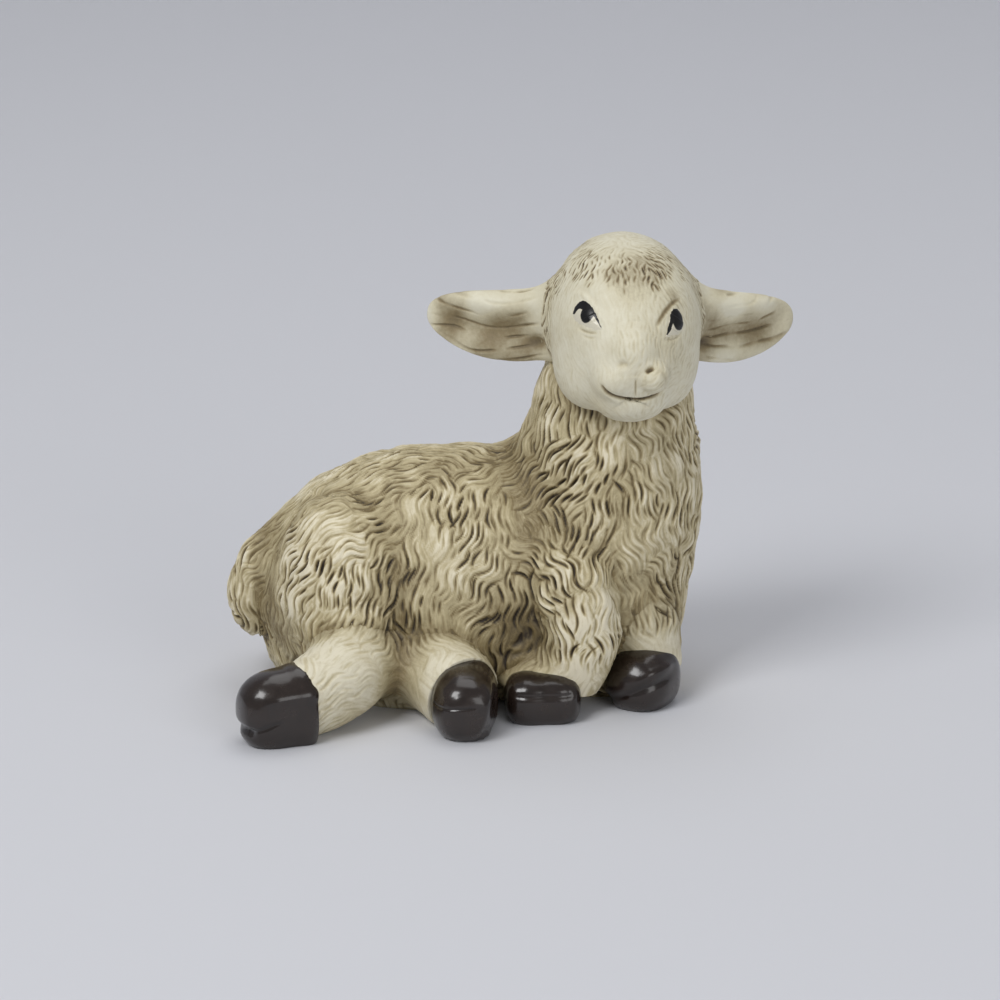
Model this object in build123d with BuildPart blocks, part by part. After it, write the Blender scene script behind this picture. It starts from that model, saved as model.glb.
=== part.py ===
"""Lying lamb figurine: a cast and painted ornament, split where its forms and its paint meet.

The frame's origin is the centre of the flat underside of the torso. +X runs from the tail to the
chest, -Y is the side that the hooves and the face are shown on, and +Z is up. Sizes are in
millimetres. Left and right are the lamb's own.
"""

import os

from build123d import *

# Torso, the fleece-covered body
torso_length = 41.0
torso_width = 25.4
torso_height = 24.8

# Chest and neck, one upright column
chest_width = 19.6
chest_depth = 20.4
neck_height = 38.0

# Head
head_length = 20.5
head_width = 15.4
head_height = 17.0
head_turn = 3.0

# Ears
ear_length = 15.2
ear_breadth = 7.6
ear_thickness = 2.6
left_ear_sweep = 31.0
left_ear_droop = 7.0
right_ear_sweep = 19.0
right_ear_droop = 0.0

# Eyes
eye_width = 3.4
eye_height = 2.4
eye_depth = 1.8

# Tail
tail_length = 13.0
tail_thickness = 5.0

# Right haunch, the thigh on the display side
haunch_height = 18.0
haunch_width = 13.5
haunch_depth = 13.0

# Legs below the body
right_shank_length = 11.5
right_shank_thickness = 9.4
left_shank_length = 10.4
left_shank_thickness = 8.8
right_foreleg_length = 14.0
right_foreleg_thickness = 7.6
left_foreleg_length = 6.5
left_foreleg_thickness = 7.4

# Hooves: length from heel to toe, width across and height
right_hind_hoof_length = 8.0
right_hind_hoof_width = 7.0
right_hind_hoof_height = 8.4
left_hind_hoof_length = 7.8
left_hind_hoof_width = 6.9
left_hind_hoof_height = 7.9
right_fore_hoof_length = 7.9
right_fore_hoof_width = 6.2
right_fore_hoof_height = 5.6
left_fore_hoof_length = 7.6
left_fore_hoof_width = 6.8
left_fore_hoof_height = 7.0

# Clear room left between neighbouring hooves, from hind to fore
hind_to_fore_gap = 0.1
fore_to_fore_gap = 2.75

# Stations of each form: share of the way along its route, then shares of its two half sizes
torso_station_shares = [
    (0.008, 0.28, 0.28),
    (0.035, 0.52, 0.50),
    (0.100, 0.74, 0.66),
    (0.200, 0.90, 0.85),
    (0.360, 0.99, 0.985),
    (0.550, 1.00, 1.00),
    (0.740, 0.95, 0.94),
    (0.880, 0.78, 0.74),
    (0.965, 0.45, 0.42),
    (0.992, 0.18, 0.17),
]
chest_station_shares = [
    (0.00, 0.76, 0.62),
    (0.15, 0.80, 0.70),
    (0.30, 0.89, 0.90),
    (0.50, 1.00, 1.00),
    (0.68, 0.93, 0.91),
    (0.80, 0.83, 0.83),
    (0.90, 0.74, 0.75),
    (1.00, 0.56, 0.58),
]
head_station_shares = [
    (0.015, 0.22, 0.22),
    (0.070, 0.55, 0.53),
    (0.170, 0.80, 0.76),
    (0.360, 0.97, 0.90),
    (0.520, 1.00, 0.95),
    (0.680, 0.92, 0.88),
    (0.810, 0.72, 0.72),
    (0.910, 0.54, 0.55),
    (0.975, 0.36, 0.35),
    (0.995, 0.17, 0.16),
]
ear_station_shares = [
    (0.000, 0.80, 0.90),
    (0.250, 1.00, 1.00),
    (0.500, 1.00, 1.00),
    (0.700, 0.78, 0.90),
    (0.860, 0.48, 0.75),
    (0.960, 0.24, 0.50),
    (0.995, 0.09, 0.25),
]
eye_station_shares = [
    (0.02, 0.20, 0.20),
    (0.15, 0.70, 0.70),
    (0.50, 1.00, 1.00),
    (0.85, 0.70, 0.70),
    (0.98, 0.20, 0.20),
]
tail_station_shares = [
    (0.00, 0.80, 0.80),
    (0.25, 0.95, 0.95),
    (0.55, 1.00, 1.00),
    (0.80, 0.90, 0.90),
    (0.94, 0.60, 0.60),
    (0.99, 0.25, 0.25),
]
haunch_station_shares = [
    (0.010, 0.20, 0.20),
    (0.060, 0.50, 0.50),
    (0.200, 0.80, 0.80),
    (0.450, 1.00, 1.00),
    (0.700, 0.90, 0.90),
    (0.880, 0.62, 0.62),
    (0.970, 0.33, 0.33),
    (0.995, 0.14, 0.14),
]
leg_station_shares = [
    (0.00, 0.86, 0.86),
    (0.35, 1.00, 1.00),
    (0.70, 0.97, 0.97),
    (0.92, 0.84, 0.84),
    (1.00, 0.68, 0.68),
]
hoof_station_shares = [
    (0.01, 0.55, 0.55),
    (0.08, 0.80, 0.82),
    (0.30, 0.98, 1.00),
    (0.60, 1.00, 0.96),
    (0.82, 0.85, 0.80),
    (0.95, 0.55, 0.52),
    (0.99, 0.30, 0.28),
]

# Routes, as shares of the sizes that carry them: along X, across Y and up Z
torso_half_rise_share = 0.593
torso_route_shares = [(-0.50, 0, 0.300), (-0.15, 0, 0.380), (0.20, 0, 0.410), (0.50, 0, 0.420)]
chest_route_shares = [(0.385, -0.04, -0.05), (0.390, -0.04, 0.475), (0.410, -0.05, 0.79)]
neck_top_shares = (0.426, -0.08, 1.00)
head_seat_shares = (0.075, 0.16)
head_route_shares = [(-0.39, 0.02), (0.00, 0.02), (0.317, -0.15), (0.61, -0.40)]
ear_root_shares = (0.72, 0.02, -0.07)
ear_sag_share = 0.12
eye_place_shares = (0.56, 0.48, 0.08)
eye_outward_shares = (0.62, 0.78)
tail_root_shares = (-0.395, -0.04, 0.625)
tail_route_shares = [(0, 0, 0), (-0.27, -0.07, -0.18), (-0.36, -0.14, -0.46), (-0.31, -0.18, -0.76)]
haunch_place_shares = (-0.275, -0.315, 0.49)
haunch_route_shares = [(0.00, -0.08, -0.50), (0.00, 0.00, 0.00), (-0.05, 0.12, 0.50)]

# Legs: root of each hind leg and foot of each foreleg, then the route as shares of the leg's length
right_shank_root_shares = (0.17, -0.12)
right_shank_rise_share = 0.68
right_shank_route_shares = [(0, 0, 0), (-0.26, -0.40, -0.08), (-0.56, -0.84, -0.25)]
left_shank_root_shares = (-0.146, -0.315)
left_shank_rise_share = 0.52
left_shank_route_shares = [(0, 0, 0), (0.38, -0.34, 0.00), (0.69, -0.72, -0.06)]
right_fore_foot_share = -0.549
right_foreleg_route_shares = [
    (-0.10, 0.32, 0.85),
    (0.10, 0.12, 0.55),
    (0.17, 0.04, 0.23),
    (0, 0, 0),
]
left_fore_foot_share = -0.402
left_foreleg_route_shares = [(-0.30, 0.34, 0.62), (-0.08, 0.14, 0.22), (0, 0, 0)]
fore_foot_rise_share = 0.80

# Hooves: heel from the leg's end in shares of the hoof's length, way that the toe points, height of the
# middle line as a share of the hoof's height, and half the room that a slanted hoof takes along X
hoof_middle_share = 0.38
right_hind_heel_shares = (-0.08, 0.00)
right_hind_toe_shares = (-0.45, -0.85)
left_hind_heel_shares = (-0.02, 0.06)
left_hind_toe_shares = (0.10, -0.99)
right_fore_heel_shares = (0.20, 0.00)
right_fore_toe_shares = (-0.99, -0.08)
left_fore_heel_shares = (0.20, 0.50)
left_fore_toe_shares = (-0.50, -0.85)
left_fore_room_share = 0.60

torso_sizes = Vector(torso_length, torso_width, torso_height)
column_sizes = Vector(torso_length, torso_width, neck_height)
haunch_sizes = Vector(haunch_width, haunch_depth, haunch_height)
across = Vector(1, 0, 0)
up = Vector(0, 0, 1)


def part_way(sizes, shares):
    """The point at the given shares of three sizes."""
    return Vector(*(size * share for size, share in zip(sizes, shares)))


def bent_route(place, length, shares):
    """A spline through points given from one place in shares of one length."""
    with BuildLine() as route:
        Spline(*(place + Vector(*point) * length for point in shares))
    return route.edges()[0]


def swell(route, station_shares, side_half, rise_half, side_way=None):
    """Lofts a rounded form through ellipses that stand square to a route.

    The first half size lies along side_way, or level and square to the route if none is given.
    """
    sections = []
    for way_share, side_share, rise_share in station_shares:
        ahead = route.tangent_at(way_share)
        level = side_way or up.cross(ahead)
        with BuildSketch(Plane(route.position_at(way_share), x_dir=level, z_dir=ahead)) as section:
            Ellipse(side_half * side_share, rise_half * rise_share)
        sections.append(section.sketch)
    loft(sections)


def stand_flat():
    """Cuts the form in hand flat at the height that the figurine stands on."""
    split(bisect_by=Plane.XY, keep=Keep.TOP)


def cut_by(*neighbours):
    """Takes the neighbours' forms out of the one in hand, so that the two meet face to face."""
    for neighbour in neighbours:
        add(neighbour.part, mode=Mode.SUBTRACT)


def hoof_route(leg_end, heel_shares, toe_shares, length, height):
    """The level middle line of a hoof, from its heel inside the leg to its toe."""
    heel = leg_end + Vector(*heel_shares) * length
    heel.Z = height * hoof_middle_share
    with BuildLine() as route:
        Line(heel, heel + Vector(*toe_shares).normalized() * length)
    return route.edges()[0]


# Torso, flat underneath
with BuildLine() as torso_route:
    Spline(*(part_way(torso_sizes, shares) for shares in torso_route_shares))
with BuildPart() as torso:
    swell(
        torso_route.edges()[0],
        torso_station_shares,
        torso_width / 2,
        torso_height * torso_half_rise_share,
    )
    stand_flat()

# Head, a form from the back of the skull to the nose, turned towards the display side
neck_top = part_way(column_sizes, neck_top_shares)
head_ahead = Vector(0, -1, 0).rotate(Axis.Z, head_turn)
head_aside = Vector(1, 0, 0).rotate(Axis.Z, head_turn)
skull = neck_top + head_ahead * head_length * head_seat_shares[0] + up * head_height * head_seat_shares[1]


def head_place(aside_share, ahead_share, rise_share):
    """A point in shares of the head's half width, its length and its height, from the skull's middle."""
    aside = head_aside * head_width / 2 * aside_share
    return skull + aside + head_ahead * head_length * ahead_share + up * head_height * rise_share


# Eyes, almond-shaped and set into the head
def eye_form(hand):
    """The form of one eye, with hand +1 on the lamb's left and -1 on its right."""
    aside_share, ahead_share, rise_share = eye_place_shares
    middle = head_place(hand * aside_share, ahead_share, rise_share)
    outward = head_aside * hand * eye_outward_shares[0] + head_ahead * eye_outward_shares[1]
    along = up.cross(outward).normalized()
    with BuildLine() as route:
        Line(middle - along * eye_width / 2, middle + along * eye_width / 2)
    swell(route.edges()[0], eye_station_shares, eye_depth / 2, eye_height / 2)


with BuildPart() as left_eye:
    eye_form(1)
with BuildPart() as right_eye:
    eye_form(-1)
with BuildLine() as head_route:
    Spline(*(head_place(0, *shares) for shares in head_route_shares))
with BuildPart() as head:
    swell(head_route.edges()[0], head_station_shares, head_width / 2, head_height / 2)
    cut_by(left_eye, right_eye)


# Ears, flat leaves that sweep back from the sides of the head
def ear_form(hand, sweep, droop):
    """The form of one ear, with hand +1 on the lamb's left and -1 on its right."""
    aside_share, ahead_share, rise_share = ear_root_shares
    root = head_place(hand * aside_share, ahead_share, rise_share)
    level = (head_aside * hand).rotate(Axis.Z, hand * sweep)
    tip = root + level.rotate(Axis((0, 0, 0), up.cross(level)), droop) * ear_length
    sag = (root + tip) / 2 - up * ear_breadth * ear_sag_share
    with BuildLine() as route:
        Spline(root, sag, tip)
    swell(route.edges()[0], ear_station_shares, ear_thickness / 2, ear_breadth / 2)


with BuildPart() as left_ear:
    ear_form(1, left_ear_sweep, left_ear_droop)
    cut_by(head)
with BuildPart() as right_ear:
    ear_form(-1, right_ear_sweep, right_ear_droop)
    cut_by(head)

# Chest and neck, a column that carries the head
with BuildLine() as chest_route:
    Spline(*(part_way(column_sizes, shares) for shares in chest_route_shares), neck_top)
with BuildPart() as chest_and_neck:
    swell(
        chest_route.edges()[0],
        chest_station_shares,
        chest_width / 2,
        chest_depth / 2,
        side_way=across,
    )
    stand_flat()
    cut_by(torso, head, left_ear, right_ear)

# Tail, hanging down the rump
tail_route = bent_route(part_way(torso_sizes, tail_root_shares), tail_length, tail_route_shares)
with BuildPart() as tail:
    swell(tail_route, tail_station_shares, tail_thickness / 2, tail_thickness / 2, side_way=across)
    cut_by(torso)

# Right haunch, standing out from the torso
haunch_middle = part_way(torso_sizes, haunch_place_shares)
with BuildLine() as haunch_route:
    Spline(*(haunch_middle + part_way(haunch_sizes, shares) for shares in haunch_route_shares))
with BuildPart() as right_haunch:
    swell(
        haunch_route.edges()[0],
        haunch_station_shares,
        haunch_width / 2,
        haunch_depth / 2,
        side_way=across,
    )
    stand_flat()
    cut_by(torso)

# Hind legs start in the haunch and in the torso, and their hooves lie at their ends
right_shank_root = Vector(
    haunch_middle.X + haunch_width * right_shank_root_shares[0],
    haunch_middle.Y + haunch_depth * right_shank_root_shares[1],
    right_shank_thickness * right_shank_rise_share,
)
right_shank_route = bent_route(right_shank_root, right_shank_length, right_shank_route_shares)
left_shank_root = Vector(
    torso_length * left_shank_root_shares[0],
    torso_width * left_shank_root_shares[1],
    left_shank_thickness * left_shank_rise_share,
)
left_shank_route = bent_route(left_shank_root, left_shank_length, left_shank_route_shares)

# Forelegs end in feet that are set out one beside the other, clear of the hoof before
left_hind_hoof_route = hoof_route(
    left_shank_route.position_at(1),
    left_hind_heel_shares,
    left_hind_toe_shares,
    left_hind_hoof_length,
    left_hind_hoof_height,
)
right_fore_toe_x = left_hind_hoof_route.position_at(1).X + left_hind_hoof_width / 2 + hind_to_fore_gap
right_fore_heel_x = right_fore_toe_x + right_fore_hoof_length
right_fore_foot = Vector(
    right_fore_heel_x - right_fore_hoof_length * right_fore_heel_shares[0],
    torso_width * right_fore_foot_share,
    right_fore_hoof_height * fore_foot_rise_share,
)
right_foreleg_route = bent_route(right_fore_foot, right_foreleg_length, right_foreleg_route_shares)
left_fore_foot = Vector(
    right_fore_heel_x + fore_to_fore_gap + left_fore_hoof_width * left_fore_room_share,
    torso_width * left_fore_foot_share,
    left_fore_hoof_height * fore_foot_rise_share,
)
left_foreleg_route = bent_route(left_fore_foot, left_foreleg_length, left_foreleg_route_shares)


def hoof_form(leg_route, heel_shares, toe_shares, length, width, height):
    """The form of one hoof at the end of a leg, standing flat."""
    route = hoof_route(leg_route.position_at(1), heel_shares, toe_shares, length, height)
    swell(route, hoof_station_shares, width / 2, height / 2)
    stand_flat()


with BuildPart() as right_hind_hoof:
    hoof_form(
        right_shank_route,
        right_hind_heel_shares,
        right_hind_toe_shares,
        right_hind_hoof_length,
        right_hind_hoof_width,
        right_hind_hoof_height,
    )
with BuildPart() as left_hind_hoof:
    hoof_form(
        left_shank_route,
        left_hind_heel_shares,
        left_hind_toe_shares,
        left_hind_hoof_length,
        left_hind_hoof_width,
        left_hind_hoof_height,
    )
with BuildPart() as right_fore_hoof:
    hoof_form(
        right_foreleg_route,
        right_fore_heel_shares,
        right_fore_toe_shares,
        right_fore_hoof_length,
        right_fore_hoof_width,
        right_fore_hoof_height,
    )
    cut_by(torso, chest_and_neck)
with BuildPart() as left_fore_hoof:
    hoof_form(
        left_foreleg_route,
        left_fore_heel_shares,
        left_fore_toe_shares,
        left_fore_hoof_length,
        left_fore_hoof_width,
        left_fore_hoof_height,
    )
    cut_by(torso, chest_and_neck)


# Legs, each cut back to the body above it and to its hoof
def leg_form(route, thickness):
    """The rounded form of one leg along its route, standing flat."""
    swell(route, leg_station_shares, thickness / 2, thickness / 2, side_way=across)
    stand_flat()


with BuildPart() as right_hind_shank:
    leg_form(right_shank_route, right_shank_thickness)
    cut_by(torso, right_haunch, right_hind_hoof)
with BuildPart() as left_hind_shank:
    leg_form(left_shank_route, left_shank_thickness)
    cut_by(torso, right_haunch, right_hind_shank, left_hind_hoof)
with BuildPart() as right_foreleg:
    leg_form(right_foreleg_route, right_foreleg_thickness)
    cut_by(torso, chest_and_neck, right_fore_hoof)
with BuildPart() as left_foreleg:
    leg_form(left_foreleg_route, left_foreleg_thickness)
    cut_by(torso, chest_and_neck, right_foreleg, left_fore_hoof)

# One file per piece
pieces = {
    "torso": torso,
    "chest_and_neck": chest_and_neck,
    "head": head,
    "left_ear": left_ear,
    "right_ear": right_ear,
    "left_eye": left_eye,
    "right_eye": right_eye,
    "tail": tail,
    "right_haunch": right_haunch,
    "right_hind_shank": right_hind_shank,
    "left_hind_shank": left_hind_shank,
    "right_foreleg": right_foreleg,
    "left_foreleg": left_foreleg,
    "right_hind_hoof": right_hind_hoof,
    "left_hind_hoof": left_hind_hoof,
    "right_fore_hoof": right_fore_hoof,
    "left_fore_hoof": left_fore_hoof,
}
os.makedirs("parts", exist_ok=True)
for name, piece in pieces.items():
    piece.part.label = name
    export_step(piece.part, f"parts/{name}.step")
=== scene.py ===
"""Lamb figurine lying down: cast resin, painted ivory under a brown wash, with enamelled hooves.

Shapes are worked out in millimetres in the shared frame, and meshes are written in metres. Left and
right are the lamb's own, -Y is the side that it shows, and +X runs from its tail to its chest.
"""

import itertools
import logging
import math
from dataclasses import dataclass, field
from enum import Enum
from typing import Callable, Iterator

import bpy
import numpy as np
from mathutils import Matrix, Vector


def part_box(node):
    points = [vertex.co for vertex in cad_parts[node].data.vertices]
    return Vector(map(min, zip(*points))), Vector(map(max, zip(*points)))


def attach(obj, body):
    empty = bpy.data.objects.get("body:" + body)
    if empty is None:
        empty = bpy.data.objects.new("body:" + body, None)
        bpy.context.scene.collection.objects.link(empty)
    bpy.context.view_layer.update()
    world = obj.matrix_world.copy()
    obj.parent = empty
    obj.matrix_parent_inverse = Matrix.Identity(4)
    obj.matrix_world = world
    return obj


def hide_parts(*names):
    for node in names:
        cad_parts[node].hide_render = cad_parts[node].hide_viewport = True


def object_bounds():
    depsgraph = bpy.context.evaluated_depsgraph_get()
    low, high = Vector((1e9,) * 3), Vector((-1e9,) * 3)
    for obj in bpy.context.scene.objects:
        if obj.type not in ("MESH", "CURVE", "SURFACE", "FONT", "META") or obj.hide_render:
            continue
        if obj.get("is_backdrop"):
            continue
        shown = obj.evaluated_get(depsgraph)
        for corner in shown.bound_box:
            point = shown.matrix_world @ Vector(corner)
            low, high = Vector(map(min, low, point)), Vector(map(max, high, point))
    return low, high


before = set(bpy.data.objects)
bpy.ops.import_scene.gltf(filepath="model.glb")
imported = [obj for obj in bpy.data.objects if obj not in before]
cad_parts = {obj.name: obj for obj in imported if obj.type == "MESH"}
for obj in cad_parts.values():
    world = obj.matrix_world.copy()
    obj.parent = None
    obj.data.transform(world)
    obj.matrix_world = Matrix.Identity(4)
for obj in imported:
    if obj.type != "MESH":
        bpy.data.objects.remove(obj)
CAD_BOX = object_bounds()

log = logging.getLogger("lamb")
Grid = np.ndarray
Point = tuple[float, float, float]
Stations = tuple[Point, ...]
Socket = bpy.types.NodeSocket
MM = 0.001
UP = np.array([0.0, 0.0, 1.0])
FAR = 50.0


class Coat(Enum):
    """What covers a piece's skin."""

    WOOL = "wool"
    HAIR = "hair"
    BARE = "bare"


class Slot(Enum):
    """The record's material slots."""

    FLEECE = "fleece_paint"
    FACE = "face_paint"
    LEG = "leg_paint"
    HOOF = "hoof_enamel"
    EYE = "eye_paint"


def unit(ways: Grid) -> Grid:
    """Vectors scaled to length one."""
    return ways / np.maximum(np.linalg.norm(ways, axis=-1, keepdims=True), 1e-9)


def ease(low: float, high: float, x: Grid) -> Grid:
    """Smooth step from 0 at low to 1 at high: 3t^2 - 2t^3."""
    t = np.clip((x - low) / (high - low), 0, 1)
    return t * t * (3 - 2 * t)


def bell(x: Grid, half: float) -> Grid:
    """Bell curve exp(-(x / half)^2)."""
    return np.exp(-((x / half) ** 2))


def through(x: Grid, xs: Grid, ys: Grid) -> Grid:
    """Cubic Hermite curve through the knots (xs, ys), with slopes from the knots beside each.

    Args:
        x: places to read, clipped to the knots' range.
        xs: rising knot places.
        ys: knot values, numbers or points.

    Returns:
        The curve's values at x.
    """
    slopes = np.gradient(ys, xs, axis=0)
    k = np.clip(np.searchsorted(xs, x, "right") - 1, 0, len(xs) - 2)
    step = xs[k + 1] - xs[k]
    t = np.clip((x - xs[k]) / step, 0, 1)
    if ys.ndim > 1:
        t, step = t[:, None], step[:, None]
    near, far = (1 + 2 * t) * (1 - t) ** 2, t * t * (3 - 2 * t)
    bend = t * (1 - t) * step
    return near * ys[k] + far * ys[k + 1] + bend * ((1 - t) * slopes[k] - t * slopes[k + 1])


def soft_least(a: Grid, b: Grid, blend: float) -> Grid:
    """Smooth minimum: min(a, b) - h^2 / (4 blend), where h = max(blend - |a - b|, 0)."""
    h = np.maximum(blend - np.abs(a - b), 0)
    return np.minimum(a, b) - h * h / (4 * blend)


@dataclass(frozen=True)
class Ripple:
    """Smooth noise of about unit size: a sum of plane waves in seeded random directions."""

    pitch: float
    seed: int
    count: int = 12

    def at(self, points: Grid) -> Grid:
        """Noise at points: sum of sin(k.p + shift) / sqrt(count / 2)."""
        rng = np.random.default_rng(self.seed)
        ways = unit(rng.normal(size=(self.count, 3))) * 2 * math.pi / self.pitch
        ways = ways * rng.uniform(0.6, 1.5, size=(self.count, 1))
        shifts = rng.uniform(0, 2 * math.pi, self.count)
        return np.sin(points @ ways.T + shifts).sum(-1) / math.sqrt(self.count / 2)


@dataclass
class Pad:
    """A swelling on a form: an ellipsoid with its halves along three ways."""

    centre: Grid
    halves: Point
    ways: Grid

    def distance(self, points: Grid) -> Grid:
        """Distance to the ellipsoid: k0 (k0 - 1) / k1, with k0 = |p / r| and k1 = |p / r^2|."""
        local = (points - self.centre) @ self.ways.T
        halves = np.array(self.halves)
        k0 = np.linalg.norm(local / halves, axis=-1)
        k1 = np.linalg.norm(local / halves**2, axis=-1)
        return k0 * (k0 - 1) / np.maximum(k1, 1e-6)


@dataclass
class Swell:
    """A fleshy form: an ellipse carried along a bent route, with halves that follow its stations.

    A station gives a share of the way, then shares of the side and rise halves. Between stations the
    squares of the halves are interpolated, so that an end whose first station is past 0 is round. An
    end with a station at 0 or 1 is flat.
    """

    route: tuple[Point, ...]
    stations: Stations
    side_half: float
    rise_half: float
    side_way: Point | None = None
    square: float = 2.0
    pads: list[tuple[Pad, float]] = field(default_factory=list)

    FINE = 400
    COARSE = 40
    CAP = 0.2

    def __post_init__(self) -> None:
        """Samples the route evenly, with the section's two ways and halves at each sample."""
        knots = np.array(self.route, float)
        chords = np.concatenate([[0], np.cumsum(np.linalg.norm(np.diff(knots, axis=0), axis=1))])
        curve = through(np.linspace(0, chords[-1], self.FINE), chords, knots)
        arcs = np.concatenate([[0], np.cumsum(np.linalg.norm(np.diff(curve, axis=0), axis=1))])
        self.length = arcs[-1]
        self.way = np.linspace(0, self.length, self.FINE)
        self.centre = np.stack([np.interp(self.way, arcs, c) for c in curve.T], 1)
        self.ahead = unit(np.gradient(self.centre, axis=0))
        base = np.cross(UP, self.ahead) if self.side_way is None else np.array(self.side_way)
        self.side = unit(base - (base * self.ahead).sum(1, keepdims=True) * self.ahead)
        self.rise = np.cross(self.ahead, self.side)
        table = np.array(self.stations)
        self.flat = (table[0, 0] <= 0, table[-1, 0] >= 1)
        if not self.flat[0]:
            table = np.vstack([[0, 0, 0], table])
        if not self.flat[1]:
            table = np.vstack([table, [1, 0, 0]])
        squares = through(self.way / self.length, table[:, 0], table[:, 1:] ** 2)
        halves = np.sqrt(np.maximum(squares, 1e-8)) * (self.side_half, self.rise_half)
        self.side_halves, self.rise_halves = halves.T
        self.slopes = np.gradient(np.sqrt(halves[:, 0] * halves[:, 1]), self.way)
        reach = max(self.side_half, self.rise_half)
        self.low, self.high = self.centre.min(0) - reach, self.centre.max(0) + reach

    def bare_distance(self, points: Grid) -> Grid:
        """Distance without the pads: radial gap |r| (1 - 1 / q), corrected for the profile's slope."""
        picks = np.linspace(0, self.FINE - 1, self.COARSE).astype(int)
        posts = self.centre[picks]
        near = ((posts**2).sum(1) - 2 * points @ posts.T).argmin(1)
        spots = picks[near]
        along = ((points - self.centre[spots]) * self.ahead[spots]).sum(1)
        way = self.way[spots] + along
        spots = np.clip(np.rint(way / self.length * (self.FINE - 1)), 0, self.FINE - 1).astype(int)
        gap = points - self.centre[spots]
        over = np.maximum(np.maximum(-way, way - self.length), 0)
        side = (gap * self.side[spots]).sum(1)
        rise = (gap * self.rise[spots]).sum(1)
        n = self.square
        a, b = (np.interp(way, self.way, halves) for halves in (self.side_halves, self.rise_halves))
        q = np.abs(side / a) ** n + np.abs(rise / b) ** n
        q = np.maximum(q, 1e-6) ** (1 / n)
        radial = np.hypot(side, rise) * (1 - 1 / q)
        radial = radial / np.sqrt(1 + np.minimum(self.slopes[spots] ** 2, 4.0))
        return np.where(over > 0, np.hypot(np.maximum(radial, 0), over), radial)

    def distance(self, points: Grid) -> Grid:
        """Distance to the form and its pads, which blend into it; far points read as far away."""
        out = np.full(len(points), FAR)
        near = np.nonzero(((points > self.low - 7) & (points < self.high + 7)).all(1))[0]
        if len(near):
            d = self.bare_distance(points[near])
            for pad, blend in self.pads:
                d = soft_least(d, pad.distance(points[near]), blend)
            out[near] = d
        return out

    def grid(self, rows: int, columns: int, hidden: tuple[tuple[float, float], ...]) -> "Sheet":
        """The form's surface as a closed grid: c(s) + f (a cos(t) side + b sin(t) rise).

        Rows are even along the profile, sparse in the hidden stretches, and columns are even around
        the middle section, closer on the shown side and sparse below the floor.

        Args:
            rows: number of rows, with a pole at each end.
            columns: number of columns around.
            hidden: stretches of the way, in shares, that lie inside other pieces.

        Returns:
            The sheet of points with its parameters.
        """
        steps = np.linspace(0, 1, 4000)
        bent = self.length * (0.5 - 0.5 * np.cos(math.pi * steps))
        mean = np.interp(bent, self.way, (self.side_halves + self.rise_halves) / 2)
        s, f = bent, np.ones_like(bent)
        cap = np.linspace(0, 1, 200)
        if self.flat[0]:
            s, f, mean = np.r_[0 * cap, s], np.r_[cap, f], np.r_[cap * mean[0], mean]
        if self.flat[1]:
            s = np.r_[s, 0 * cap + self.length]
            f, mean = np.r_[f, cap[::-1]], np.r_[mean, cap[::-1] * mean[-1]]
        else:
            f[-1] = 0
        if not self.flat[0]:
            f[0] = 0
        weight = np.ones_like(s)
        for first, last in hidden:
            weight[(s >= first * self.length) & (s <= last * self.length)] = 0.22
        weight[f < 1] *= 0.3
        run = np.concatenate([[0], np.cumsum(np.hypot(np.diff(s), np.diff(mean)) * weight[1:])])
        at = np.linspace(0, run[-1], rows)
        s, f = np.interp(at, run, s), np.interp(at, run, f)
        angle = self.column_angles(columns)
        pick = s / self.length * (self.FINE - 1)
        low = np.minimum(pick.astype(int), self.FINE - 2)
        part = (pick - low)[:, None]
        lerp = lambda table: table[low] * (1 - part) + table[low + 1] * part
        a = f * np.interp(s, self.way, self.side_halves)
        b = f * np.interp(s, self.way, self.rise_halves)
        power = 2 / self.square
        wide = np.sign(np.cos(angle)) * np.abs(np.cos(angle)) ** power
        tall = np.sign(np.sin(angle)) * np.abs(np.sin(angle)) ** power
        across = a[:, None] * wide
        above = b[:, None] * tall
        points = lerp(self.centre)[:, None] + across[..., None] * lerp(self.side)[:, None]
        points = points + above[..., None] * lerp(self.rise)[:, None]
        share = np.broadcast_to((s / self.length)[:, None], across.shape)
        held = np.clip(s / self.length, self.CAP, 1 - self.CAP) * (self.FINE - 1)
        core = np.broadcast_to(self.centre[held.astype(int)][:, None], points.shape)
        return Sheet(points, share, across, above, core)

    def column_angles(self, columns: int) -> Grid:
        """Angles that space columns evenly round the middle section, by how well each side shows."""
        mid = self.FINE // 2
        fine = np.linspace(0, 2 * math.pi, 2001)
        a, b = self.side_halves[mid], self.rise_halves[mid]
        section = a * np.cos(fine)[:, None] * self.side[mid] + b * np.sin(fine)[:, None] * self.rise[mid]
        facing = unit(section)
        weight = 0.42 + 0.58 * np.maximum(ease(-0.35, 0.15, -facing[:, 1]), ease(0.55, 0.8, facing[:, 2]))
        weight[(self.centre[mid] + section)[:, 2] < 0] = 0.12
        run = np.concatenate([[0], np.cumsum(np.linalg.norm(np.diff(section, axis=0), axis=1) * weight[1:])])
        return np.interp(np.linspace(0, run[-1], columns, endpoint=False), run, fine)


@dataclass
class Sheet:
    """A closed grid of points, rows by columns, with its share of the way and section offsets."""

    points: Grid
    share: Grid
    across: Grid
    above: Grid
    core: Grid | None = None

    def normals(self) -> Grid:
        """Outward unit normals: the cross product of the column and row differences."""
        along = np.gradient(self.points, axis=0)
        around = np.roll(self.points, -1, 1) - np.roll(self.points, 1, 1)
        normal = unit(np.cross(around, along))
        normal[0], normal[-1] = unit(normal[1].mean(0)), unit(normal[-2].mean(0))
        return normal

    def stand(self) -> None:
        """Keeps every point on or above the floor."""
        self.points[..., 2] = np.maximum(self.points[..., 2], 0)


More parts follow.
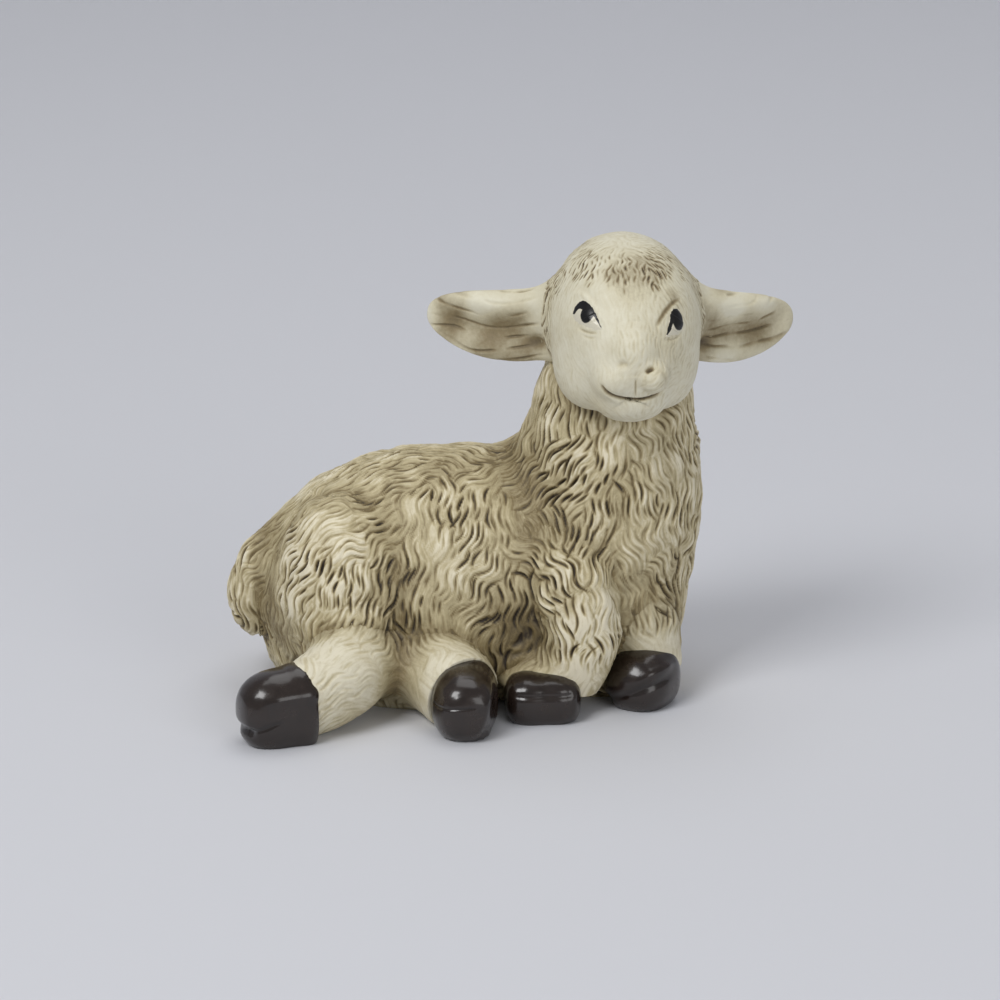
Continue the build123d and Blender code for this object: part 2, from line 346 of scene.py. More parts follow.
@dataclass
class Piece:
    """One part of the figurine: its form, what it grows into and how woolly it is."""

    node: str
    slot: Slot
    form: Swell
    meets: tuple[tuple[str, float], ...] = ()
    rows: int = 200
    columns: int = 200
    hidden: tuple[tuple[float, float], ...] = ()
    coat: Coat = Coat.BARE
    comb: Callable[[Grid, Grid], Grid] | None = None
    sheet: Sheet | None = None
    marks: dict[str, Grid] = field(default_factory=dict)

    SINK = 0.45
    STEPS = 7
    PACE = 0.85
    PAD_REACH = 4.0
    COVERED = (1.8, 0.6)
    SHOWN = 0.25

    def grow(self, others: dict[str, "Piece"]) -> None:
        """Pushes the form's grid outward onto its soft union with the pieces it meets.

        The way out is the grid's normal, and near the two poles it fans out from a core instead.
        Where a neighbour is nearer, the target level sinks with the difference, so that two skins
        cross once and never lie on each other. Skin that is well covered stays where it is. Keeps the
        mark "crease", which is 1 in the joints, and "shown", which is 0 where a neighbour covers it.
        """
        sheet = self.form.grid(self.rows, self.columns, self.hidden)
        flat = sheet.points.reshape(-1, 3)
        end = np.minimum(sheet.share, 1 - sheet.share)[..., None]
        fan = ease(self.form.CAP, self.form.CAP / 4, end)
        out = unit((1 - fan) * sheet.normals() + fan * unit(sheet.points - sheet.core)).reshape(-1, 3)
        slip = self.form.bare_distance(flat)
        push = np.zeros(len(flat))
        most = 0.6 + max((blend for _, blend in self.meets), default=0) * 0.6
        most = most if not self.form.pads else most + self.PAD_REACH
        most = most * ease(*self.COVERED, self.level(flat, slip, others)[1])
        for _ in range(self.STEPS):
            level = self.level(flat + push[:, None] * out, slip, others)[0]
            push = np.clip(push - self.PACE * level, 0, most)
        flat = flat + push[:, None] * out
        _, sink, crease = self.level(flat, slip, others)
        shape = sheet.points.shape[:2]
        sheet.points = flat.reshape(*shape, 3)
        sheet.points[0], sheet.points[-1] = sheet.points[0].mean(0), sheet.points[-1].mean(0)
        sheet.stand()
        self.sheet = sheet
        self.marks["crease"] = crease.reshape(shape)
        self.marks["shown"] = (sink < self.SHOWN).astype(float).reshape(shape)

    def level(self, points: Grid, slip: Grid, others: dict[str, "Piece"]) -> tuple[Grid, Grid, Grid]:
        """Level of the soft union, how far a neighbour is nearer, and closeness to a joint."""
        own = self.form.distance(points) - slip
        union, sink, crease = own, np.full(len(points), -FAR), np.zeros(len(points))
        for node, blend in self.meets:
            other = others[node].form.distance(points)
            union = soft_least(union, other, blend)
            sink = np.maximum(sink, own - other)
            crease = np.maximum(crease, bell(np.maximum(other, 0), 1.0 + 0.25 * blend))
        return union + self.SINK * np.maximum(sink, 0), sink, crease


def near_pairs(points: Grid, seeds: Grid, reach: float) -> Iterator[tuple[Grid, Grid]]:
    """Pairs of points and seeds that lie in the same or touching cells of a cubic lattice.

    Args:
        points: where to look from.
        seeds: what to look for.
        reach: the lattice's pitch.

    Yields:
        Index arrays of points and of their seeds, with no point twice in one pass.
    """
    cells = np.floor(seeds / reach).astype(np.int64) + 512
    code = lambda cell: (cell[:, 0] * 1024 + cell[:, 1]) * 1024 + cell[:, 2]
    order = np.argsort(code(cells), kind="stable")
    codes = code(cells)[order]
    home = np.floor(points / reach).astype(np.int64) + 512
    for step in itertools.product((-1, 0, 1), repeat=3):
        wanted = code(home + np.array(step))
        first = np.searchsorted(codes, wanted, "left")
        count = np.searchsorted(codes, wanted, "right") - first
        for nth in range(int(count.max(initial=0))):
            at = np.nonzero(count > nth)[0]
            yield at, order[first[at] + nth]


@dataclass
class Tufts:
    """Places on the fleece, each with its comb way, the way across it and its normal."""

    points: Grid
    ways: Grid
    sides: Grid
    normals: Grid

    def local(self, points: Grid, pick: Grid) -> tuple[Grid, Grid, Grid]:
        """Offsets of points from the picked places: along, across and out."""
        gap = points - self.points[pick]
        return tuple((gap * axis[pick]).sum(1) for axis in (self.ways, self.sides, self.normals))

    def chosen(self, along: float, across: float, rng: np.random.Generator) -> "Tufts":
        """Keeps places in random order, none within the ellipse along by across of another."""
        kept = np.empty(len(self.points), int)
        count = 0
        for pick in rng.permutation(len(self.points)):
            gap = self.points[kept[:count]] - self.points[pick]
            a, b, h = gap @ self.ways[pick], gap @ self.sides[pick], gap @ self.normals[pick]
            if not np.any((a / along) ** 2 + (b / across) ** 2 + (h / 2) ** 2 < 1):
                kept[count] = pick
                count += 1
        kept = kept[:count]
        return Tufts(self.points[kept], self.ways[kept], self.sides[kept], self.normals[kept])

    def turned(self, angle: Grid) -> None:
        """Turns each comb way about its normal."""
        c, s = np.cos(angle)[:, None], np.sin(angle)[:, None]
        self.ways, self.sides = self.ways * c + self.sides * s, self.sides * c - self.ways * s


@dataclass
class Fleece:
    """A carved coat: soft locks, each with wavy strands side by side and gouged strokes among them.

    In a lock's own frame, with a along the comb and b across it, strands follow lines of equal
    w = b + bend sin(k a + phase), where bend, k and phase are the lock's own.
    """

    coat: Coat
    lock_length: float
    lock_width: float
    pillow: float
    strand_pitch: float
    strand_height: float
    stroke_pitch: float
    stroke_gap: float
    stroke_half: tuple[float, float]
    depth: tuple[float, float]
    bend: float
    narrow: float
    broad: float
    swirl: float
    seed: int

    def sow(self, pieces: list[Piece]) -> None:
        """Sets out the locks and strokes on all pieces that wear this coat, combed each piece's way.

        Args:
            pieces: pieces with grown sheets; those with another coat are passed over.
        """
        rng = np.random.default_rng(self.seed)
        stock = []
        for piece in (p for p in pieces if p.coat is self.coat):
            points = piece.sheet.points.reshape(-1, 3)
            normals = piece.sheet.normals().reshape(-1, 3)
            fit = np.nonzero((piece.marks["shown"].ravel() > 0.5) & (points[:, 2] > 0.5))[0]
            pick = rng.choice(fit, min(len(fit), 9000), replace=False)
            ways = piece.comb(points[pick], normals[pick])
            stock.append((points[pick], normals[pick], ways))
        points, normals, ways = (np.concatenate(part) for part in zip(*stock))
        ways = unit(ways - (ways * normals).sum(1, keepdims=True) * normals)
        every = Tufts(points, ways, np.cross(normals, ways), normals)
        every.turned(self.swirl * Ripple(15, 3).at(points))
        self.locks = every.chosen(self.lock_length, self.lock_width, rng)
        count = len(self.locks.points)
        self.locks.turned(rng.normal(0, 0.24, count))
        self.phases = rng.uniform(0, 2 * math.pi, count)
        self.waves = 2 * math.pi / (self.lock_length * rng.uniform(0.9, 1.4, count))
        self.bends = self.bend * rng.uniform(0.5, 1.2, count)
        strokes = every.chosen(self.stroke_pitch, self.stroke_gap, rng)
        self.seats, self.ups = strokes.points, strokes.normals
        self.home, _ = self.homes(strokes.points)
        self.along, self.across, _, _ = self.combed(strokes.points, self.home)
        self.halves = rng.uniform(*self.stroke_half, len(self.home))
        low, high = self.depth
        patch = np.clip(0.78 + 0.35 * Ripple(9, 11).at(strokes.points), 0.3, 1.2)
        self.depths = (low + (high - low) * rng.random(len(self.home)) ** 1.4) * patch
        log.info("%s: %d locks, %d strokes", self.coat.value, count, len(self.home))

    def homes(self, points: Grid) -> tuple[Grid, Grid]:
        """The nearest lock to each point, and how much nearer it is than the next one, in mm."""
        best, second = np.full(len(points), FAR), np.full(len(points), FAR)
        home = np.zeros(len(points), int)
        for at, lock in near_pairs(points, self.locks.points, 1.3 * self.lock_length):
            d = np.linalg.norm(points[at] - self.locks.points[lock], axis=1)
            second[at] = np.minimum(second[at], np.maximum(d, best[at]))
            nearer = d < best[at]
            best[at[nearer]], home[at[nearer]] = d[nearer], lock[nearer]
        return home, second - best

    def combed(self, points: Grid, lock: Grid) -> tuple[Grid, Grid, Grid, Grid]:
        """Points in their locks' frames: along, w across, out of the skin, and w's slope along."""
        a, b, h = self.locks.local(points, lock)
        turn = self.waves[lock] * a + self.phases[lock]
        slope = self.bends[lock] * self.waves[lock] * np.cos(turn)
        return a, b + self.bends[lock] * np.sin(turn), h, slope

    def relief(self, points: Grid, normals: Grid) -> tuple[Grid, Grid, Grid, Grid]:
        """Height of the carved coat, how low each point lies in it, and its comb.

        Locks add pillow * (sum of exp(-4 F^2))^(1/4), with F the distance in lock halves. Strands add
        strand_height * cos(2 pi w / strand_pitch), with a slight waver in w, and fade where two locks
        meet. A stroke cuts
        depth * (1 - t^2), with t its share along, in a bell across w, narrow on one side and broad on
        the other, and raises a lip beside the narrow side.

        Args:
            points: places on the bare skin.
            normals: its normals there; strands and strokes fade where it turns away from theirs.

        Returns:
            Height in mm, wash from 0 to 1, the lip's height in mm, and the comb for hair-fine streaks.
        """
        swell = np.zeros(len(points))
        for at, lock in near_pairs(points, self.locks.points, self.lock_length):
            a, b, h = self.locks.local(points[at], lock)
            f2 = (a / self.lock_length * 1.7) ** 2 + (b / self.lock_width * 1.7) ** 2 + (h / 3) ** 2
            swell[at] += np.exp(-4 * f2)
        pillow = np.minimum(swell**0.25, 1.15)
        home, clear = self.homes(points)
        a, w, _, _ = self.combed(points, home)
        full = ease(0.0, 0.7, clear) * np.clip(0.65 + 0.4 * Ripple(5, 17).at(points), 0.15, 1.2)
        full = full * ease(0.3, 0.75, (normals * self.locks.normals[home]).sum(1))
        waver = w + 0.11 * Ripple(2.2, 23).at(points)
        strand = np.cos(2 * math.pi * waver / self.strand_pitch + 5 * self.phases[home])
        comb = np.stack([a / 7, w, home * 3.7], 1)
        groove, lip = np.zeros(len(points)), np.zeros(len(points))
        wide = 3 * self.broad + 0.1
        for at, k in near_pairs(points, self.seats, self.stroke_half[1] + 0.2):
            a, w, h, slope = self.combed(points[at], self.home[k])
            t = (a - self.along[k]) / self.halves[k]
            e = (w - self.across[k]) / np.sqrt(1 + slope**2)
            near = (np.abs(t) < 1) & (np.abs(e) < wide) & (np.abs(h) < 1.8)
            near &= (normals[at] * self.ups[k]).sum(1) > 0.6
            at, k, t, e = at[near], k[near], t[near], e[near]
            fade = 1 - t * t
            half = np.where(e > 0, self.narrow, self.broad) * (0.55 + 0.45 * fade)
            deep = self.depths[k] * fade
            groove[at] = np.maximum(groove[at], deep * bell(e, half))
            lip[at] = np.maximum(lip[at], 0.3 * deep * bell(e - 2.4 * self.narrow, 1.3 * self.narrow))
        lip = lip * np.clip(1 - groove / (0.25 * self.depth[1]), 0, 1)
        height = self.pillow * pillow + self.strand_height * full * strand + lip - groove
        patch = np.clip(0.9 + 0.5 * Ripple(3.5, 29).at(points), 0.2, 1.7)
        low = 0.28 * np.clip(1 - pillow, 0, 1) + 0.34 * patch * full * np.clip(-strand, 0, 1) ** 2
        inked = np.clip(groove / (0.55 * self.depth[1]), 0, 1)
        return height, 1 - (1 - inked) * (1 - low), lip, comb


LEG_STATIONS = ((0, 0.86, 0.86), (0.35, 1, 1), (0.70, 0.98, 0.98), (0.92, 0.97, 0.97), (1, 0.94, 0.94))
SLIM_STATIONS = ((0, 0.90, 0.90), (0.35, 1, 1), (0.70, 0.93, 1), (0.90, 0.80, 0.99), (1, 0.72, 0.94))
HOOF_STATIONS = (
    (0, 0.95, 0.95), (0.04, 1, 1), (0.35, 1, 1), (0.62, 0.97, 0.95), (0.80, 0.86, 0.82),
    (0.92, 0.66, 0.62), (0.98, 0.40, 0.38),
)
ROUND_STATIONS = (
    (0.015, 0.36, 0.36), (0.07, 0.66, 0.66), (0.20, 0.90, 0.90), (0.45, 1, 1), (0.70, 0.95, 0.94),
    (0.88, 0.72, 0.70), (0.975, 0.38, 0.36),
)
BLOCK_STATIONS = (
    (0.015, 0.42, 0.42), (0.07, 0.76, 0.76), (0.20, 0.96, 0.96), (0.50, 1, 1), (0.80, 0.96, 0.96),
    (0.93, 0.76, 0.76), (0.985, 0.42, 0.42),
)


def along_route(form: Swell) -> Callable[[Grid, Grid], Grid]:
    """A comb that follows a form's route."""
    def comb(points: Grid, normals: Grid) -> Grid:
        """The route's way at its nearest sample."""
        near = ((form.centre**2).sum(1) - 2 * points @ form.centre.T).argmin(1)
        return form.ahead[near]
    return comb


@dataclass(frozen=True)
class WashAndShadePatch:
    """A soft patch of darker colour: broad brown wash in some places, painted shade in hollows and joints in
    others, and lighter where its strength is below 0.
    """

    place: Point
    reach: float
    strength: float

    def at(self, points: Grid) -> Grid:
        """The patch's strength at points: a bell round its place."""
        return self.strength * bell(np.linalg.norm(points - np.array(self.place), axis=-1), self.reach)


# Broad patches on the wool and legs: brown wash on the back, painted shade over the wash in the hollows and
# joints, and two lighter patches.
WASH_AND_SHADE_PATCHES = (
    # broad brown wash on the neck and the back
    WashAndShadePatch((8.5, -4.0, 23.5), 5.0, 0.30),
    WashAndShadePatch((-2.0, -3.0, 24.0), 7.0, 0.20),
    # painted shade over the brown wash where shade falls: under the belly, in the haunch's front crease,
    # behind the tail, at the shoulder, between and low on the legs, and on the lower chest
    WashAndShadePatch((6.4, -12.2, 8.6), 4.6, 0.62),
    WashAndShadePatch((-4.6, -12.5, 8.0), 3.5, 0.40),
    WashAndShadePatch((-5.0, -12.6, 14.0), 2.4, 0.30),
    WashAndShadePatch((-17.0, -6.0, 9.5), 3.4, 0.62),
    WashAndShadePatch((8.5, -9.0, 20.0), 4.0, 0.24),
    WashAndShadePatch((-7.3, -14.6, 4.0), 2.6, 0.55),
    WashAndShadePatch((-12.6, -15.0, 9.2), 1.3, 0.35),
    WashAndShadePatch((-11.0, -19.0, 2.0), 2.2, 0.25),
    WashAndShadePatch((-3.5, -14.0, 4.0), 3.5, 0.25),
    WashAndShadePatch((16.8, -11.0, 4.5), 2.6, 0.60),
    WashAndShadePatch((20.0, -9.5, 12.0), 5.0, 0.10),
    # a broad patch on the chest, then two with strength below 0 that lighten the colour
    WashAndShadePatch((18.0, -11.0, 24.0), 4.0, 0.12),
    WashAndShadePatch((-12.0, -14.0, 14.5), 6.0, -0.16),
    WashAndShadePatch((13.6, -15.5, 9.5), 4.5, -0.20),
)


@dataclass
class Body:
    """Torso, chest with neck, and tail."""

    torso_route: tuple[Point, ...] = ((-20.5, 0, 7.44), (-6.15, 0, 9.42), (8.2, 0, 10.17), (20.5, 0, 10.42))
    torso_halves: tuple[float, float] = (12.7, 14.7)
    torso_stations: Stations = (
        (0.008, 0.28, 0.28), (0.035, 0.52, 0.50), (0.10, 0.74, 0.66), (0.20, 0.90, 0.85), (0.36, 0.99, 0.985),
        (0.55, 1, 1), (0.74, 0.95, 0.94), (0.88, 0.78, 0.74), (0.965, 0.45, 0.42), (0.992, 0.18, 0.17),
    )
    chest_route: tuple[Point, ...] = (
        (15.8, -1.0, -1.9), (16.0, -1.0, 18.05), (16.8, -1.27, 30.0), (17.47, -2.03, 38.0),
    )
    chest_halves: tuple[float, float] = (9.8, 10.2)
    chest_stations: Stations = (
        (0, 0.76, 0.62), (0.15, 0.80, 0.70), (0.30, 0.89, 0.90), (0.50, 1, 1), (0.68, 0.93, 0.91),
        (0.80, 0.83, 0.83), (0.90, 0.74, 0.75), (1, 0.56, 0.58),
    )
    tail_route: tuple[Point, ...] = (
        (-16.2, -1.0, 15.5), (-19.7, -1.9, 13.2), (-20.9, -2.8, 9.5), (-20.2, -3.4, 5.6),
    )
    tail_half: float = 2.5
    tail_stations: Stations = (
        (0, 0.8, 0.8), (0.25, 0.95, 0.95), (0.55, 1, 1), (0.80, 0.90, 0.90), (0.94, 0.6, 0.6),
        (0.99, 0.25, 0.25),
    )

    def pieces(self) -> list[Piece]:
        """The body's pieces with their forms and combs."""
        torso = Swell(self.torso_route, self.torso_stations, *self.torso_halves)
        chest = Swell(self.chest_route, self.chest_stations, *self.chest_halves, side_way=(1, 0, 0))
        tail = Swell(self.tail_route, self.tail_stations, self.tail_half, self.tail_half, side_way=(1, 0, 0))
        return [
            Piece(
                "torso", Slot.FLEECE, torso,
                (("chest_and_neck", 4.0), ("right_haunch", 2.4), ("tail", 1.2), ("right_foreleg", 2.0),
                 ("right_hind_shank", 1.0), ("left_hind_shank", 0.8)),
                300, 325, ((0.80, 1.0),), Coat.WOOL, self.comb_torso,
            ),
            Piece(
                "chest_and_neck", Slot.FLEECE, chest,
                (("torso", 4.0), ("head", 1.0), ("right_foreleg", 2.6), ("left_foreleg", 3.0)),
                290, 335, ((0.0, 0.06), (0.96, 1.0)), Coat.WOOL, self.comb_chest,
            ),
            Piece(
                "tail", Slot.FLEECE, tail, (("torso", 1.2), ("right_haunch", 0.6), ("right_hind_shank", 0.5)),
                150, 120, ((0, 0.15),), Coat.WOOL, along_route(tail),
            ),
        ]

    def comb_torso(self, points: Grid, normals: Grid) -> Grid:
        """Along the ridge on top, down and a little back on the flanks and the rump."""
        ridge = ease(0.76, 0.96, normals[:, 2])[:, None]
        return ridge * (-1.0, 0.1, -0.1) + (1 - ridge) * (-0.15, 0.0, -1.0)

    def comb_chest(self, points: Grid, normals: Grid) -> Grid:
        """Down the neck and chest, leaning back where they run into the torso."""
        lean = ease(14.0, 7.5, points[:, 0])[:, None]
        low = ease(17.0, 11.0, points[:, 2])[:, None]
        return lean * (-0.6, 0.0, -0.8) + (1 - lean) * (low * (0.5, 0.0, 0.0) + (0.06, 0.06, -1.0))


@dataclass(frozen=True)
class Line:
    """A line cut, raised or painted through points: aside and up on the face, or in an eye's plane."""

    points: tuple[tuple[float, float], ...]
    half: float
    depth: float
    stain: float = 0.0

    def at(self, aside: Grid, rise: Grid) -> Grid:
        """Strength from 0 to 1: a bell across the line that fades at its two ends."""
        best, along = np.full(aside.shape, FAR), np.zeros(aside.shape)
        count = len(self.points)
        knots = through(np.linspace(0, count - 1, 4 * count - 3), np.arange(count), np.array(self.points))
        for k, (start, end) in enumerate(zip(knots[:-1], knots[1:])):
            run = end - start
            t = np.clip(((aside - start[0]) * run[0] + (rise - start[1]) * run[1]) / (run @ run), 0, 1)
            gap = np.hypot(aside - start[0] - t * run[0], rise - start[1] - t * run[1])
            along = np.where(gap < best, (k + t) / (len(knots) - 1), along)
            best = np.minimum(best, gap)
        return bell(best, self.half) * np.sqrt(np.clip(5 * along * (1 - along), 0.04, 1))


@dataclass(frozen=True)
class EyeShape:
    """A painted eye: its place on the head, and its pupil, lid lines and outline in its own plane.

    The plane's first way runs towards the nose and its second way up.
    """

    place: Point
    hand: int
    pupil: tuple[float, float]
    pupil_halves: tuple[float, float]
    lids: tuple[Line, ...]
    outline: tuple[tuple[float, float], ...]

    def ink(self, x: Grid, y: Grid) -> Grid:
        """Black paint: a tall pupil that hangs from the lid lines, above 0.5 where it covers."""
        (u, v), (a, b) = self.pupil, self.pupil_halves
        inside = 1 - np.hypot((x - u) / a, (y - v) / b)
        lid = np.max([line.at(x, y) for line in self.lids], axis=0) - 0.42
        return np.clip(0.5 + 1.6 * np.maximum(inside, 1.2 * lid), 0, 1)


@dataclass
class Head:
    """Head with its muzzle, ears and eyes, set out from the middle of the skull."""

    skull: Point = (17.55, -3.57, 40.72)
    turn: float = 3.0
    route: tuple[tuple[float, float], ...] = ((-8.0, 0.34), (0, 0.34), (6.5, -2.55), (12.5, -6.8))
    halves: tuple[float, float] = (7.7, 8.25)
    stations: Stations = (
        (0.015, 0.22, 0.22), (0.07, 0.55, 0.53), (0.17, 0.80, 0.76), (0.36, 0.97, 0.90), (0.52, 1, 0.95),
        (0.68, 0.92, 0.88), (0.81, 0.72, 0.72), (0.91, 0.54, 0.55), (0.975, 0.36, 0.35), (0.995, 0.17, 0.16),
    )
    ear_root: Point = (5.54, 0.41, -1.19)
    ear_length: float = 15.2
    ear_halves: tuple[float, float] = (1.3, 3.8)
    ear_sag: float = 0.91
    ear_sweeps: tuple[float, float] = (34.0, 16.0)
    ear_droops: tuple[float, float] = (7.0, 0.0)
    ear_stations: Stations = (
        (0, 0.8, 0.9), (0.25, 1, 1), (0.5, 1, 0.98), (0.7, 0.85, 0.86), (0.86, 0.60, 0.64),
        (0.96, 0.34, 0.38), (0.995, 0.12, 0.15),
    )
    ear_hollow: float = 1.25
    eyes: dict[str, EyeShape] = field(default_factory=lambda: {
        "left_eye": EyeShape(
            (4.15, 10.1, 1.28), 1, (-0.52, 0.10), (0.92, 1.04),
            (Line(((-1.15, 0.95), (-0.60, 1.00), (-0.10, 0.72), (0.40, 0.10)), 0.22, 0.0),
             Line(((0.00, 0.62), (0.75, -0.36), (1.45, -1.12)), 0.15, 0.0)),
            ((1.62, -1.28), (0.88, -0.25), (0.15, 0.78), (-0.60, 1.20), (-1.30, 1.00), (-1.55, 0.20),
             (-1.42, -0.75), (-0.70, -1.22), (0.30, -1.35), (1.10, -1.35)),
        ),
        "right_eye": EyeShape(
            (-4.36, 9.85, 1.99), -1, (0.05, 0.12), (0.80, 0.90),
            (Line(((-1.92, -0.42), (-1.74, 0.30), (-1.30, 0.70), (-0.62, 0.72), (0.10, 0.50)), 0.40, 0.0),
             Line(((-0.40, 0.80), (0.30, 0.55), (1.00, 0.05), (1.65, -0.50), (2.20, -1.12)), 0.14, 0.0)),
            ((2.32, -1.22), (1.15, 0.15), (0.45, 0.78), (-0.40, 1.22), (-1.35, 1.15), (-1.98, 0.50),
             (-2.08, -0.45), (-1.10, -1.00), (0.20, -1.20), (1.40, -1.32)),
        ),
    })

    def __post_init__(self) -> None:
        """Works out the head's own ways: aside to its left, ahead along its face, and up."""
        c, s = math.cos(math.radians(self.turn)), math.sin(math.radians(self.turn))
        self.aside, self.ahead = np.array([c, s, 0.0]), np.array([s, -c, 0.0])
        self.ways = np.stack([self.aside, self.ahead, UP])
        self.lines = (
            Line(((-3.25, -4.35), (-2.75, -5.05), (-1.70, -5.75), (0.10, -6.10), (1.30, -6.08),
                  (2.45, -5.75), (3.05, -5.20)), 0.19, 0.36, 0.95),
            Line(((0.24, -3.70), (0.30, -5.80)), 0.12, 0.14, 0.45),
            Line(((1.15, -3.00), (1.55, -2.66), (2.15, -2.45)), 0.22, 0.36, 0.90),
            Line(((-1.60, -2.45), (-1.10, -2.12), (-0.60, -2.30)), 0.34, 0.28, 0.30),
            Line(((-5.30, 0.62), (-4.40, 0.38), (-3.40, 0.50)), 0.16, 0.12, 0.45),
            Line(((-5.00, 0.05), (-4.30, -0.12), (-3.60, 0.05)), 0.14, 0.08, 0.30),
            Line(((3.30, -0.15), (4.30, -0.38), (5.10, -0.05)), 0.16, 0.12, 0.40),
            Line(((-6.10, 2.60), (-5.60, 3.35), (-4.80, 3.50), (-4.10, 3.15), (-3.40, 2.40), (-2.60, 1.20)),
                 0.24, -0.08, 0.0),
            Line(((-5.60, 3.90), (-4.60, 3.98), (-3.80, 3.50), (-3.10, 2.60)), 0.30, 0.06, 0.14),
            Line(((2.60, 0.75), (3.20, 1.50), (3.90, 2.15), (4.60, 2.52), (5.20, 2.60)), 0.24, -0.04, 0.0),
            Line(((2.40, 1.05), (3.00, 1.85), (3.70, 2.50), (4.40, 2.90), (5.30, 3.05)), 0.30, 0.09, 0.72),
            Line(((1.35, -2.75), (2.20, -2.50), (3.00, -3.00), (3.38, -4.00), (3.25, -5.05)),
                 0.28, 0.13, 0.26),
            Line(((-3.00, -4.95), (-2.10, -6.00), (-0.60, -6.85)), 0.34, -0.09, 0.0),
        )

    def place(self, aside: float, ahead: float, rise: float) -> Grid:
        """A point given from the skull's middle."""
        return np.array(self.skull) + aside * self.aside + ahead * self.ahead + rise * UP

    def local(self, points: Grid) -> Grid:
        """Points as aside, ahead and rise from the skull's middle."""
        return (points - np.array(self.skull)) @ self.ways.T

    def pad(self, place: Point, halves: Point, blend: float) -> tuple[Pad, float]:
        """A swelling on the head at a place, with halves aside, ahead and up."""
        return Pad(self.place(*place), halves, self.ways), blend

    def ear(self, hand: int) -> Swell:
        """One ear's form, with hand +1 on the left and -1 on the right."""
        root = self.place(hand * self.ear_root[0], *self.ear_root[1:])
        pick = 0 if hand > 0 else 1
        sweep, droop = math.radians(self.ear_sweeps[pick]), math.radians(self.ear_droops[pick])
        level = np.array([hand * math.cos(sweep), math.sin(sweep), 0.0]) * math.cos(droop)
        tip = root + self.ear_length * (level - UP * math.sin(droop))
        middle = (root + tip) / 2 - self.ear_sag * UP
        return Swell((tuple(root), tuple(middle), tuple(tip)), self.ear_stations, *self.ear_halves)

    def pieces(self) -> list[Piece]:
        """The head's pieces, without the eyes, with their forms and combs."""
        points = tuple(tuple(self.place(0, *spot)) for spot in self.route)
        pads = [
            self.pad((-1.45, 11.9, -4.1), (2.4, 2.2, 1.9), 1.0),
            self.pad((2.05, 12.3, -3.75), (1.75, 2.45, 1.8), 0.4),
            self.pad((0.1, 10.3, -7.0), (3.1, 2.3, 1.9), 1.2),
            self.pad((0.15, 12.0, -1.5), (1.9, 2.1, 2.3), 1.4),
            self.pad((-4.1, 5.5, -5.2), (2.9, 4.2, 3.4), 2.2),
            self.pad((4.0, 5.5, -5.2), (2.8, 4.2, 3.4), 2.2),
        ]
        head = Swell(points, self.stations, *self.halves, pads=pads)
        left, right = self.ear(1), self.ear(-1)
        return [
            Piece(
                "head", Slot.FACE, head, (("left_ear", 3.2), ("right_ear", 3.2), ("chest_and_neck", 0.8)),
                300, 320, (), Coat.HAIR, self.comb_head,
            ),
            Piece(
                "left_ear", Slot.FACE, left, (("head", 3.2), ("chest_and_neck", 0.5)), 230, 190,
                ((0, 0.1),),
            ),
            Piece(
                "right_ear", Slot.FACE, right, (("head", 3.2), ("chest_and_neck", 0.5)), 230, 190,
                ((0, 0.1),),
            ),
        ]

    def comb_head(self, points: Grid, normals: Grid) -> Grid:
        """Outward in a fan from the crown."""
        return points - self.place(0.3, 1.5, 9.0)

    def hair_share(self, points: Grid) -> Grid:
        """Hair on the top and back of the head and thinly on the cheeks, none on the face."""
        spot = self.local(points)
        edge = 4.5 + 0.5 * np.sin(1.7 * spot[:, 0]) + 0.3 * np.sin(3.9 * spot[:, 0] + 1)
        top = ease(-0.6, 0.8, spot[:, 2] - edge) * (1 - 0.85 * ease(6.3, 7.5, spot[:, 2]))
        back = ease(5.5, 2.5, spot[:, 1]) * (1 - 0.8 * ease(4.6, 6.6, spot[:, 2]))
        return np.maximum(np.maximum(top, back), 0.22)

    def tint(self, points: Grid) -> Grid:
        """Wash left on the face: beside the nose, over the left eye and on the forehead."""
        places = ((2.4, 10.6, -1.2, 2.0, 0.44), (4.6, 8.6, 3.7, 1.1, 0.40), (0.8, 8.0, 5.6, 3.2, 0.30),
                  (-5.6, 8.4, 0.2, 1.6, 0.16), (0.5, 9.0, 1.5, 2.5, 0.12), (-2.6, 10.6, -6.6, 1.6, 0.18))
        wash = np.zeros(len(points))
        for aside, ahead, rise, reach, strength in places:
            wash = np.maximum(wash, WashAndShadePatch(tuple(self.place(aside, ahead, rise)), reach, strength).at(points))
        return wash

    def face(self, points: Grid, normals: Grid) -> tuple[Grid, Grid]:
        """Height and wash of the lines drawn on the face."""
        spot = self.local(points)
        ahead = ease(0.05, 0.4, normals @ self.ahead) * ease(5.0, 7.0, spot[:, 1])
        height, wash = np.zeros(len(points)), np.zeros(len(points))
        for line in self.lines:
            strength = line.at(spot[:, 0], spot[:, 2]) * ahead
            height -= line.depth * strength
            wash = np.maximum(wash, line.stain * strength)
        return height, wash

